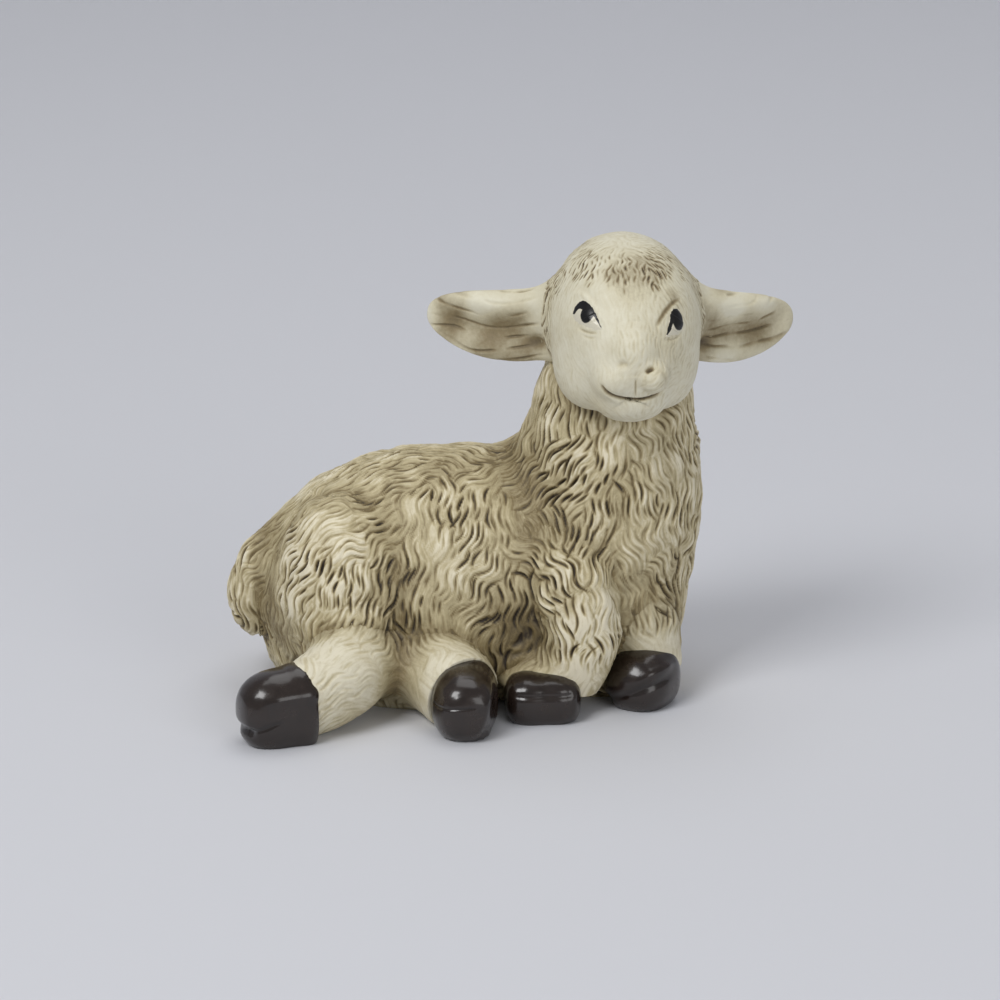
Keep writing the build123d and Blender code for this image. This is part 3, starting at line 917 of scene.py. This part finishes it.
    def ear_relief(self, sheet: Sheet, hand: int) -> tuple[Grid, Grid]:
        """Height and wash of an ear: a hollow in front under a rolled upper rim, with ribs to the tip.

        The hollow is a bell across the breadth, deepest below the middle, that dies out at the root and
        the tip. The upper rim stands out in front. Ribs are sin(2 pi n b + wobble) cut to a power, with
        b the share of the ear's breadth, and a dark opening lies low at the root.
        """
        front = sheet.normals() @ np.array([0.0, -1.0, 0.0])
        b, s = sheet.above / self.ear_halves[1], sheet.share
        face = ease(0.15, 0.7, front)
        bowl = ease(0.12, 0.40, s) * ease(1.0, 0.78, s) * bell(b + 0.16, 0.46) * face
        roll = ease(0.05, 0.25, s) * ease(1.0, 0.7, s) * bell(b - 0.62, 0.24) * face
        mouth = bell(s - 0.24, 0.09) * bell(b + 0.52, 0.24) * face
        wander = 0.5 * Ripple(6.0, 21 + hand).at(sheet.points)
        count = b * (3.6 - 1.2 * s) + 0.4 * np.sin(4 * s + hand) + 0.3 * wander
        rib = np.maximum(np.sin(2 * math.pi * count), 0)
        patch = np.clip(0.5 + 0.6 * Ripple(4, 31 + hand).at(sheet.points), 0, 1)
        drawn = ease(0.12, 0.3, s) * ease(1.0, 0.9, s) * patch
        cut = rib**3 * drawn * (0.25 + 0.75 * face) * (1 - 0.7 * roll)
        height = 0.35 * roll - self.ear_hollow * bowl - 0.20 * cut - 0.7 * mouth
        blot = 0.27 + 0.16 * Ripple(5, 41 + hand).at(sheet.points)
        wash = 1 - (1 - 0.46 * bowl) * (1 - 0.50 * cut) * (1 - 0.85 * mouth) * (1 - np.clip(blot, 0, 0.45))
        return height, np.clip(wash - 0.25 * roll, 0, 1)


@dataclass
class Legs:
    """Right haunch, shanks, forelegs and the four hooves."""

    haunch_route: tuple[Point, ...] = ((-11.3, -9.0, 3.15), (-11.28, -8.0, 12.15), (-11.95, -6.44, 21.15))
    haunch_halves: tuple[float, float] = (6.75, 6.5)
    haunch_stations: Stations = (
        (0.01, 0.2, 0.2), (0.06, 0.5, 0.5), (0.2, 0.8, 0.8), (0.45, 1, 1), (0.7, 0.9, 0.9),
        (0.88, 0.62, 0.62), (0.97, 0.33, 0.33), (0.995, 0.14, 0.14),
    )
    right_shank: tuple[Point, ...] = ((-8.98, -9.56, 6.4), (-11.1, -15.9, 5.1), (-15.9, -20.4, 3.5))
    left_shank: tuple[Point, ...] = ((-6.0, -8.0, 4.58), (-1.9, -11.6, 4.45), (1.1, -16.3, 3.3))
    right_foreleg: tuple[Point, ...] = (
        (9.8, -7.0, 17.4), (12.7, -11.6, 12.4), (13.4, -12.0, 7.7), (11.8, -11.4, 3.4),
    )
    left_foreleg: tuple[Point, ...] = ((18.4, -6.6, 10.0), (19.6, -7.1, 7.0), (20.5, -7.2, 2.8))
    right_shank_half: float = 4.3
    left_shank_half: float = 4.4
    right_foreleg_half: float = 3.8
    left_foreleg_half: float = 3.7
    hooves: dict[str, tuple[Point, Point, float, float]] = field(default_factory=lambda: {
        "right_hind_hoof": ((-14.6, -19.8, 3.35), (-21.4, -22.8, 3.1), 3.3, 4.35),
        "left_hind_hoof": ((1.03, -15.0, 3.0), (1.82, -22.8, 3.0), 3.45, 3.95),
        "right_fore_hoof": ((13.27, -13.94, 2.13), (5.4, -14.6, 2.13), 3.1, 2.8),
        "left_fore_hoof": ((21.9, -6.2, 2.7), (17.6, -13.2, 2.6), 3.5, 3.6),
    })
    cuffs: dict[str, tuple[Point, Point]] = field(default_factory=lambda: {
        "left_hind_shank": ((-4.5, -9.4, 1.0), (5.0, 2.4, 2.2)),
        "right_foreleg": ((9.3, -11.6, 2.8), (4.4, 3.4, 3.2)),
    })
    cuff_blend: float = 1.6
    cleft: float = 0.16
    hoof_square: float = 2.4

    def limb(self, node: str, route: tuple[Point, ...], half: float) -> Swell:
        """A leg along its route, with the swelling that it has at its foot, if any."""
        pads = []
        if node in self.cuffs:
            centre, halves = self.cuffs[node]
            pads.append((Pad(np.array(centre), halves, np.eye(3)), self.cuff_blend))
        stations = SLIM_STATIONS if node == "right_hind_shank" else LEG_STATIONS
        return Swell(route, stations, half, half, side_way=(1, 0, 0), pads=pads)

    def pieces(self) -> list[Piece]:
        """The legs' pieces with their forms and combs."""
        haunch = Swell(self.haunch_route, self.haunch_stations, *self.haunch_halves, side_way=(1, 0, 0))
        right_shank = self.limb("right_hind_shank", self.right_shank, self.right_shank_half)
        left_shank = self.limb("left_hind_shank", self.left_shank, self.left_shank_half)
        right_foreleg = self.limb("right_foreleg", self.right_foreleg, self.right_foreleg_half)
        left_foreleg = self.limb("left_foreleg", self.left_foreleg, self.left_foreleg_half)
        made = [
            Piece(
                "right_haunch", Slot.FLEECE, haunch,
                (("torso", 2.4), ("right_hind_shank", 2.8), ("left_hind_shank", 1.0), ("tail", 0.5)),
                200, 220, (), Coat.WOOL, self.comb_haunch,
            ),
            Piece(
                "right_foreleg", Slot.FLEECE, right_foreleg,
                (("torso", 2.0), ("chest_and_neck", 2.6), ("left_foreleg", 1.0)),
                200, 200, (), Coat.WOOL, along_route(right_foreleg),
            ),
            Piece(
                "right_hind_shank", Slot.LEG, right_shank,
                (("torso", 1.0), ("right_haunch", 2.8), ("left_hind_shank", 3.0), ("tail", 0.5)),
                200, 200, (), Coat.WOOL, along_route(right_shank),
            ),
            Piece(
                "left_hind_shank", Slot.LEG, left_shank,
                (("torso", 0.8), ("right_haunch", 1.0), ("right_hind_shank", 3.0)),
                200, 200, (), Coat.WOOL, self.comb_down,
            ),
            Piece(
                "left_foreleg", Slot.LEG, left_foreleg, (("chest_and_neck", 3.0), ("right_foreleg", 1.0)),
                150, 180, (), Coat.WOOL, self.comb_down,
            ),
        ]
        shapes = {"right_fore_hoof": BLOCK_STATIONS, "left_fore_hoof": ROUND_STATIONS}
        for node, (heel, toe, side_half, rise_half) in self.hooves.items():
            stations = shapes.get(node, HOOF_STATIONS)
            form = Swell((heel, toe), stations, side_half, rise_half, square=self.hoof_square)
            made.append(Piece(node, Slot.HOOF, form, (), 150, 160))
        return made

    def comb_haunch(self, points: Grid, normals: Grid) -> Grid:
        """Down and back over the thigh."""
        return np.broadcast_to(np.array([-0.55, 0.1, -0.8]), points.shape)

    def comb_down(self, points: Grid, normals: Grid) -> Grid:
        """Straight down."""
        return np.broadcast_to(np.array([0.15, 0.0, -1.0]), points.shape)

    def wool_share(self, node: str, points: Grid) -> Grid:
        """How much of the coat's relief a leg carries: less towards the hooves."""
        y, z = points[:, 1], points[:, 2]
        if node == "right_hind_shank":
            return 0.20 + 0.80 * ease(-16.5, -12.0, y) * ease(4.0, 7.0, z)
        if node == "left_foreleg":
            return 0.06 + 0.90 * ease(6.8, 8.8, z)
        if node == "right_foreleg":
            return 0.12 + 0.88 * ease(4.5, 8.0, z)
        return 0.12 + 0.36 * ease(-15.6, -13.5, y)

    def hoof_relief(self, node: str, sheet: Sheet) -> tuple[Grid, Grid]:
        """Height and darkening of a hoof: a cleft between its toes and a facet that it was cut with, with
        painted shade in the cleft, the notch and under the facet.
        """
        s, x, z = sheet.share, sheet.across, sheet.above
        if node == "right_hind_hoof":
            slit = bell(z + 1.1 - 1.1 * ease(1.0, 0.45, s), 0.26) * ease(0.38, 0.75, s) * ease(-0.5, 0.6, x)
            notch = bell(z + 1.3, 0.55) * ease(0.84, 0.98, s)
            facet = bell(z - 2.2, 0.75) * ease(0.9, 0.5, s) * ease(0.5, 1.6, x)
            # painted shade: darker in the slit and the notch
            return -self.cleft * slit - 0.6 * notch + 0.25 * facet, np.clip(0.7 * slit + 0.6 * notch, 0, 1)
        if node == "left_hind_hoof":
            slit = bell(z - 0.95 - 0.06 * x, 0.12) * ease(0.5, 0.75, s) * ease(0.9, 0.1, x)
            bevel = ease(1.5, 3.2, x - 0.35 * z) * ease(0.4, 0.7, s)
            # painted shade: darker in the slit
            return -0.12 * slit - 0.5 * bevel, np.clip(0.8 * slit, 0, 1)
        if node == "left_fore_hoof":
            facet = bell(z - 0.6 - 0.45 * x, 0.55) * ease(0.3, 0.55, s) * ease(1.0, 0.8, s)
            under = bell(z + 0.7 - 0.45 * x, 0.5) * ease(0.4, 0.7, s)
            # painted shade: darker under the facet
            return 0.22 * facet - 0.22 * under, 0.3 * under
        ledge = bell(z - 1.15, 0.3) * ease(0.05, 0.2, s) * ease(1.0, 0.8, s)
        return -0.12 * ledge, np.zeros(s.shape)


def linear(hex_code: str) -> tuple[float, float, float, float]:
    """An sRGB hex colour as linear red, green, blue and alpha."""
    parts = [int(hex_code[k:k + 2], 16) / 255 for k in (1, 3, 5)]
    return (*(p / 12.92 if p <= 0.04045 else ((p + 0.055) / 1.055) ** 2.4 for p in parts), 1.0)


def add(
    tree: bpy.types.NodeTree, kind: str, inputs: dict | None = None, **settings: str | bool,
) -> bpy.types.Node:
    """Adds a node with its settings, and sets or links its inputs.

    Args:
        tree: the material's node tree.
        kind: the node's type name.
        inputs: input names or numbers, with a value or an output socket for each.
        settings: the node's own properties.

    Returns:
        The node.
    """
    node = tree.nodes.new(kind)
    for name, value in settings.items():
        setattr(node, name, value)
    for name, value in (inputs or {}).items():
        if isinstance(value, Socket):
            tree.links.new(value, node.inputs[name])
        else:
            node.inputs[name].default_value = value
    return node


class Nodes:
    """A new material with its shader, and the few kinds of node that the finishes use."""

    def __init__(self, name: str) -> None:
        """Makes the material under its name."""
        self.material = bpy.data.materials.new(name)
        self.material.use_nodes = True
        self.tree = self.material.node_tree
        self.shader = self.tree.nodes["Principled BSDF"]
        self.place = add(self.tree, "ShaderNodeTexCoord").outputs["Object"]

    def mark(self, name: str, output: str = "Fac") -> Socket:
        """A mesh attribute."""
        return add(self.tree, "ShaderNodeAttribute", attribute_name=name).outputs[output]

    def noise(self, vector: Socket, scale: float, detail: float, roughness: float = 0.5) -> Socket:
        """Noise from 0 to 1."""
        inputs = {"Vector": vector, "Scale": scale, "Detail": detail, "Roughness": roughness}
        return add(self.tree, "ShaderNodeTexNoise", inputs).outputs["Fac"]

    def maths(self, operation: str, *values: float | Socket, clamp: bool = False) -> Socket:
        """One step of arithmetic on values and sockets."""
        inputs = dict(enumerate(values))
        return add(self.tree, "ShaderNodeMath", inputs, operation=operation, use_clamp=clamp).outputs[0]

    def bump(self, height: Socket, strength: float, distance: float, **normal: Socket) -> Socket:
        """A normal bent by a height, whose full range is distance mm."""
        inputs = {"Height": height, "Strength": strength, "Distance": distance * MM, **normal}
        return add(self.tree, "ShaderNodeBump", inputs).outputs["Normal"]

    def colour(self, share: Socket, *stops: tuple[float, str]) -> None:
        """Colours the shader by a share, through hex colours at places from 0 to 1."""
        ramp = add(self.tree, "ShaderNodeValToRGB", {"Fac": share})
        ends = ramp.color_ramp.elements
        for end, (spot, tint) in zip(ends, (stops[0], stops[-1])):
            end.position, end.color = spot, linear(tint)
        for spot, tint in stops[1:-1]:
            ends.new(spot).color = linear(tint)
        self.drive("Base Color", ramp.outputs["Color"])

    def drive(self, name: str, value: float | Socket) -> None:
        """Sets or links one input of the shader."""
        if isinstance(value, Socket):
            self.tree.links.new(value, self.shader.inputs[name])
        else:
            self.shader.inputs[name].default_value = value


@dataclass(frozen=True)
class WashedPaint:
    """Matt ivory paint on cast resin under a brown wash that stays in the low places.

    The wash attribute drives the colour from the rubbed high places to the stained grooves, and also
    carries painted shade in the joints and hollows; the surface has the fine tooth of a brushed,
    unglazed casting. Sizes are in mm.
    """

    name: str
    rubbed: str
    ground: str
    stain: str
    deep: str
    roughness: float
    tooth: float
    streak: float
    blot_size: float = 3.2
    grit_size: float = 0.45
    hair_size: float = 0.42
    blot_range: float = 0.34
    grit_range: float = 0.22

    def material(self) -> bpy.types.Material:
        """The finished material."""
        nodes = Nodes(self.name)
        blot = nodes.noise(nodes.place, 1000 / self.blot_size, 4.0, 0.6)
        grit = nodes.noise(nodes.place, 1000 / self.grit_size, 3.0, 0.65)
        hair = nodes.noise(nodes.mark("comb", "Vector"), 1 / self.hair_size, 3.0, 0.6)
        depth = nodes.mark("wash")
        for value, spread in ((blot, self.blot_range), (grit, self.grit_range), (hair, 2 * self.streak)):
            uneven = nodes.maths("MULTIPLY_ADD", value, spread, -spread / 2)
            depth = nodes.maths("ADD", depth, uneven)
        # The stain and deep stops show the brown wash, and also the painted shade that the wash mark carries.
        stops = ((0.0, self.rubbed), (0.24, self.ground), (0.62, self.stain), (1.0, self.deep))
        nodes.colour(nodes.maths("ADD", depth, 0.0, clamp=True), *stops)
        nodes.drive("Roughness", nodes.maths("MULTIPLY_ADD", grit, 0.24, self.roughness - 0.12))
        combed = nodes.bump(hair, self.streak, 0.12)
        nodes.drive("Normal", nodes.bump(grit, self.tooth, 0.06, Normal=combed))
        nodes.drive("IOR", 1.48)
        return nodes.material


@dataclass(frozen=True)
class HoofEnamel:
    """Dark brown brushed enamel: glossy and a little uneven, worn lighter in random clouds, with painted
    shade in its clefts.
    """

    name: str = "dark_brown_gloss_enamel"
    colour: str = "#1E1612"
    worn: str = "#2E231D"
    roughness: float = 0.24
    cloud_size: float = 1.6

    def material(self) -> bpy.types.Material:
        """The finished material."""
        nodes = Nodes(self.name)
        cloud = nodes.noise(nodes.place, 1000 / self.cloud_size, 4.0, 0.6)
        # Painted shade: the wash mark darkens the clefts, the notch and the underside of the facet.
        tone = nodes.maths("SUBTRACT", cloud, nodes.mark("wash"), clamp=True)
        nodes.colour(tone, (0.25, self.colour), (0.85, self.worn))
        nodes.drive("Roughness", nodes.maths("MULTIPLY_ADD", cloud, 0.25, self.roughness - 0.12))
        nodes.drive("Normal", nodes.bump(cloud, 0.35, 0.1))
        nodes.drive("Coat Weight", 0.35)
        nodes.drive("Coat Roughness", 0.1)
        return nodes.material


@dataclass(frozen=True)
class EyePaint:
    """Hand-painted eye: white ground with a black pupil and lid lines, under a thin gloss varnish."""

    name: str = "black_and_white_eye_gloss"
    white: str = "#D6D0BC"
    black: str = "#0D0C0C"
    grain_size: float = 0.3

    def material(self) -> bpy.types.Material:
        """The finished material."""
        nodes = Nodes(self.name)
        grain = nodes.noise(nodes.place, 1000 / self.grain_size, 3.0)
        edge = nodes.maths("MULTIPLY_ADD", grain, 0.16, -0.08)
        mask = nodes.maths("ADD", nodes.mark("wash"), edge, clamp=True)
        nodes.colour(mask, (0.42, self.white), (0.58, self.black))
        nodes.drive("Roughness", 0.3)
        return nodes.material


FINISHES = {
    Slot.FLEECE: WashedPaint(
        "ivory_matt_paint_brown_wash_and_painted_shade", "#E6DDC3", "#C2B590", "#7F6F4B", "#32281C",
        roughness=0.6, tooth=0.5, streak=0.36,
    ),
    Slot.FACE: WashedPaint(
        "pale_ivory_matt_paint", "#DFDAC4", "#D0C8AC", "#8E7F5F", "#403425",
        roughness=0.58, tooth=0.35, streak=0.14,
    ),
    Slot.LEG: WashedPaint(
        "pale_ivory_matt_paint_lower_legs", "#E0D9C2", "#C4B998", "#857654", "#3E3224",
        roughness=0.6, tooth=0.4, streak=0.26,
    ),
    Slot.HOOF: HoofEnamel(),
    Slot.EYE: EyePaint(),
}


def write_mesh(
    name: str, sheet: Sheet, marks: dict[str, Grid], finish: bpy.types.Material,
) -> bpy.types.Object:
    """Makes a mesh object from a closed grid: one vertex for each pole, quads between rows.

    Args:
        name: the piece's name.
        sheet: its points in mm.
        marks: values for each grid point that become attributes.
        finish: its material.

    Returns:
        The object, at the origin.
    """
    rows, columns = sheet.points.shape[:2]
    body = lambda grid: grid[1:-1].reshape(-1, *grid.shape[2:])
    gather = lambda grid: np.concatenate([grid[:1, 0], body(grid), grid[-1:, 0]])
    ring = np.arange(columns)
    after = np.roll(ring, -1)
    start = 1 + columns * np.arange(rows - 3)[:, None]
    quads = np.stack([start + ring, start + after, start + columns + after, start + columns + ring], -1)
    last = 1 + columns * (rows - 2)
    base = last - columns
    fans = np.concatenate([
        np.stack([0 * ring, after + 1, ring + 1], -1),
        np.stack([0 * ring + last, base + ring, base + after], -1),
    ])
    quads = quads.reshape(-1)
    loops = np.concatenate([quads, fans.reshape(-1)]).astype(np.int32)
    sizes = np.concatenate([np.full(len(quads) // 4, 4), np.full(len(fans), 3)])
    starts = np.concatenate([[0], np.cumsum(sizes)[:-1]]).astype(np.int32)
    mesh = bpy.data.meshes.new(name)
    points = gather(sheet.points) * MM
    mesh.vertices.add(len(points))
    mesh.vertices.foreach_set("co", points.astype(np.float32).ravel())
    mesh.loops.add(len(loops))
    mesh.loops.foreach_set("vertex_index", loops)
    mesh.polygons.add(len(starts))
    mesh.polygons.foreach_set("loop_start", starts)
    mesh.update(calc_edges=True)
    mesh.polygons.foreach_set("use_smooth", np.ones(len(starts), bool))
    for mark, values in marks.items():
        kind, key = ("FLOAT_VECTOR", "vector") if values.ndim > 2 else ("FLOAT", "value")
        layer = mesh.attributes.new(mark, kind, "POINT")
        layer.data.foreach_set(key, gather(values).astype(np.float32).ravel())
    mesh.validate()
    mesh.materials.append(finish)
    made = bpy.data.objects.new(name, mesh)
    bpy.context.collection.objects.link(made)
    return made


@dataclass
class Studio:
    """Pale sweep of floor and backdrop, soft lamps and the camera."""

    aim: Point = (4.96, -4.5, 20.45)
    distance: float = 450.0
    tilt: float = 17.0
    lens: float = 156.0
    floor_colour: str = "#D4D5DA"
    sweep_depth: float = 420.0
    sweep_bend: float = 160.0

    def build(self) -> None:
        """Makes everything that isn't the figurine."""
        self.camera()
        self.floor()
        self.lamp("key", (-330, -420, 560), 330, 2.75)
        self.lamp("fill", (420, -560, 260), 420, 1.05)
        self.lamp("top", (60, 160, 640), 480, 1.1)
        world = bpy.data.worlds.new("soft_room")
        world.use_nodes = True
        world.node_tree.nodes["Background"].inputs["Color"].default_value = linear("#F4F6FA")
        world.node_tree.nodes["Background"].inputs["Strength"].default_value = 0.30
        bpy.context.scene.world = world
        bpy.context.scene.view_settings.view_transform = "Standard"

    def camera(self) -> None:
        """Camera in front of the figurine, looking along +Y and down."""
        data = bpy.data.cameras.new("camera")
        data.lens, data.sensor_width = self.lens, 36.0
        made = bpy.data.objects.new("camera", data)
        tilt = math.radians(self.tilt)
        offset = np.array([0, -math.cos(tilt), math.sin(tilt)]) * self.distance
        made.location = (np.array(self.aim) + offset) * MM
        made.rotation_euler = (math.pi / 2 - tilt, 0, 0)
        bpy.context.collection.objects.link(made)
        bpy.context.scene.camera = made

    def lamp(self, name: str, place: Point, size: float, power: float) -> None:
        """Adds a square soft lamp that faces the figurine."""
        data = bpy.data.lights.new(name, "AREA")
        data.size, data.energy = size * MM, power
        made = bpy.data.objects.new(name, data)
        made.location = np.array(place) * MM
        gaze = unit(np.array(self.aim) - np.array(place))
        made.rotation_euler = (math.acos(-gaze[2]), 0, math.atan2(gaze[1], gaze[0]) - math.pi / 2)
        bpy.context.collection.objects.link(made)

    def floor(self) -> None:
        """Floor that bends up into a backdrop: a line, a quarter circle and a line, carried along X."""
        turn = np.linspace(0, math.pi / 2, 24)
        bend_y = self.sweep_depth + self.sweep_bend * np.sin(turn)
        bend_z = self.sweep_bend * (1 - np.cos(turn))
        y = np.r_[-1400, bend_y, self.sweep_depth + self.sweep_bend]
        z = np.r_[0, bend_z, 1500]
        x = np.array([-1600.0, 1600.0])
        points = np.stack(np.broadcast_arrays(x[:, None], y, z), -1).reshape(-1, 3) * MM
        k = np.arange(len(y) - 1)
        faces = np.stack([k, k + len(y), k + len(y) + 1, k + 1], -1)
        mesh = bpy.data.meshes.new("floor")
        mesh.from_pydata(points.tolist(), [], faces.tolist())
        mesh.polygons.foreach_set("use_smooth", np.ones(len(faces), bool))
        paper = bpy.data.materials.new("matt_backdrop_paper")
        paper.use_nodes = True
        shader = paper.node_tree.nodes["Principled BSDF"]
        shader.inputs["Base Color"].default_value = linear(self.floor_colour)
        shader.inputs["Roughness"].default_value = 0.85
        mesh.materials.append(paper)
        made = bpy.data.objects.new("floor", mesh)
        bpy.context.collection.objects.link(made)
        made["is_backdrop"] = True


@dataclass
class Lamb:
    """The whole figurine: grows the skins, carves the coats, marks the details and writes the pieces."""

    body: Body = field(default_factory=Body)
    head: Head = field(default_factory=Head)
    legs: Legs = field(default_factory=Legs)
    wool: Fleece = field(default_factory=lambda: Fleece(
        Coat.WOOL, lock_length=3.9, lock_width=2.7, pillow=0.34, strand_pitch=0.74, strand_height=0.06,
        stroke_pitch=1.7, stroke_gap=0.52, stroke_half=(0.7, 1.6), depth=(0.14, 0.46), bend=0.36,
        narrow=0.105, broad=0.17, swirl=0.2, seed=7,
    ))
    hair: Fleece = field(default_factory=lambda: Fleece(
        Coat.HAIR, lock_length=2.4, lock_width=1.8, pillow=0.06, strand_pitch=0.5, strand_height=0.03,
        stroke_pitch=0.9, stroke_gap=0.34, stroke_half=(0.4, 0.85), depth=(0.06, 0.20), bend=0.14,
        narrow=0.085, broad=0.13, swirl=0.25, seed=8,
    ))
    # Darker colour in the joints between pieces: brown wash with painted shade where shade falls.
    crease_wash_and_shade: float = 0.4
    face_crease_wash_and_shade: float = 0.2
    hair_wash: float = 0.03
    foot_fade: float = 0.7
    eye_bulge: float = 0.28
    eye_inset: float = 0.03
    eye_depth: float = 0.7

    def build(self) -> None:
        """Builds and dresses every piece in turn."""
        pieces = self.body.pieces() + self.head.pieces() + self.legs.pieces()
        named = {piece.node: piece for piece in pieces}
        for piece in pieces:
            piece.grow(named)
        self.coats = {coat.coat: coat for coat in (self.wool, self.hair)}
        for coat in self.coats.values():
            coat.sow(pieces)
        finishes = {slot: finish.material() for slot, finish in FINISHES.items()}
        for piece in pieces:
            self.carve(piece)
            self.finish(piece, finishes[piece.slot])
        for node, shape in self.head.eyes.items():
            self.finish(self.eye(node, shape, named["head"]), finishes[Slot.EYE])

    def carve(self, piece: Piece) -> None:
        """Raises the piece's relief along its normals and works out where the brown wash and the painted
        shade lie.
        """
        sheet, node = piece.sheet, piece.node
        shape = sheet.points.shape[:2]
        normals = sheet.normals()
        flat, out = sheet.points.reshape(-1, 3), normals.reshape(-1, 3)
        # Painted shade with brown wash: darker in the joints between pieces.
        joint = self.face_crease_wash_and_shade if piece.slot is Slot.FACE else self.crease_wash_and_shade
        wash = joint * piece.marks["crease"].ravel()
        lift = np.zeros(len(flat))
        comb = np.zeros((len(flat), 3))
        if piece.coat is not Coat.BARE:
            coat = self.coats[piece.coat]
            height, low, lip, comb = coat.relief(flat, out)
            share = self.coat_share(piece, flat)
            lift = share * height
            base = 0.0 if piece.coat is Coat.WOOL else self.hair_wash
            wash = 1 - (1 - wash) * (1 - share * low) * (1 - base)
            wash = wash - 0.5 * share * lip / coat.depth[1]
        # Broad patches: brown wash, and painted shade in the hollows under the belly, between the legs and
        # behind the tail; two lighten.
        if piece.slot in (Slot.FLEECE, Slot.LEG):
            for stain in WASH_AND_SHADE_PATCHES:
                wash = 1 - (1 - wash) * (1 - stain.at(flat))
        if node == "head":
            drawn, ink = self.head.face(flat, out)
            lift, wash = lift + drawn, np.maximum(1 - (1 - wash) * (1 - self.head.tint(flat)), ink)
        if node.endswith("_ear"):
            height, ink = self.head.ear_relief(sheet, 1 if node == "left_ear" else -1)
            lift, wash = lift + height.ravel(), np.maximum(wash, ink.ravel())
        if piece.slot is Slot.HOOF:
            height, ink = self.legs.hoof_relief(node, sheet)
            lift, wash = lift + height.ravel(), ink.ravel()
        lift = lift * ease(0.0, self.foot_fade, flat[:, 2])
        sheet.points = sheet.points + lift.reshape(*shape, 1) * normals
        sheet.points[0], sheet.points[-1] = sheet.points[0].mean(0), sheet.points[-1].mean(0)
        sheet.stand()
        piece.marks = {"wash": np.clip(wash, 0, 1).reshape(shape), "comb": comb.reshape(*shape, 3)}

    def coat_share(self, piece: Piece, points: Grid) -> Grid:
        """How much of its coat's relief each point of a piece carries."""
        if piece.node == "head":
            return self.head.hair_share(points)
        if piece.slot is Slot.LEG or piece.node == "right_foreleg":
            return self.legs.wool_share(piece.node, points)
        return np.ones(len(points))

    def eye(self, node: str, shape: EyeShape, head: Piece) -> Piece:
        """One eye: a shallow lens on the head's surface, inside an almond outline.

        A point at share r of the way from the middle to the outline is carried along the eye's facing
        onto the head and raised by eye_bulge (1 - r^2); the back of the lens lies inside the head.

        Args:
            node: the eye's name.
            shape: its place and outline.
            head: the head, whose surface carries the lens.

        Returns:
            The eye's piece with its sheet and its ink mark.
        """
        middle = self.head.place(*shape.place)
        out = unit(0.62 * shape.hand * self.head.aside + 0.78 * self.head.ahead)
        inward = unit(np.cross(UP, out)) * -shape.hand
        knots = np.array(shape.outline + shape.outline[:1])
        rim = through(np.linspace(0, len(knots) - 1, 96, endpoint=False), np.arange(len(knots)), knots)
        r = np.concatenate([np.linspace(0, 1, 60), np.linspace(1, 0, 14)[1:]])
        back = np.arange(len(r)) >= 60
        x, y = (r[:, None] * rim[:, axis] for axis in (0, 1))
        points = middle + x[..., None] * inward + y[..., None] * UP + 3.0 * out
        flat = points.reshape(-1, 3)
        for _ in range(14):
            flat = flat - head.form.distance(flat)[:, None] * 0.8 * out
        rise = np.where(back, -self.eye_depth, self.eye_bulge * (1 - r**2) - self.eye_inset)
        points = flat.reshape(points.shape) + rise[:, None, None] * out
        sheet = Sheet(points, x, x, y)
        piece = Piece(node, Slot.EYE, head.form)
        ink = shape.ink(x, y)
        if ((sheet.normals() * (points - points.mean((0, 1)))).sum(-1)).mean() < 0:
            sheet.points, ink = points[:, ::-1], ink[:, ::-1]
        piece.sheet, piece.marks = sheet, {"wash": ink}
        return piece

    def finish(self, piece: Piece, material: bpy.types.Material) -> None:
        """Writes the piece's mesh and ties it to its CAD node."""
        made = write_mesh(piece.node + "_cast", piece.sheet, piece.marks, material)
        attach(made, "root")
        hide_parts(piece.node)
        low, high = (np.array(corner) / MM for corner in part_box(piece.node))
        points = piece.sheet.points.reshape(-1, 3)
        over = max((low - points.min(0)).max(), (points.max(0) - high).max())
        log.info("%s: %d vertices, %.2f mm past its node's box", made.name, len(made.data.vertices), over)


def main() -> None:
    """Builds the studio and the figurine."""
    logging.basicConfig(level=logging.INFO, format="%(message)s")
    Studio().build()
    Lamb().build()
    boxes = {"cad": CAD_BOX, "visual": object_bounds()}
    plain = {name: [[float(v) for v in corner] for corner in box] for name, box in boxes.items()}


if __name__ == "__main__":
    main()
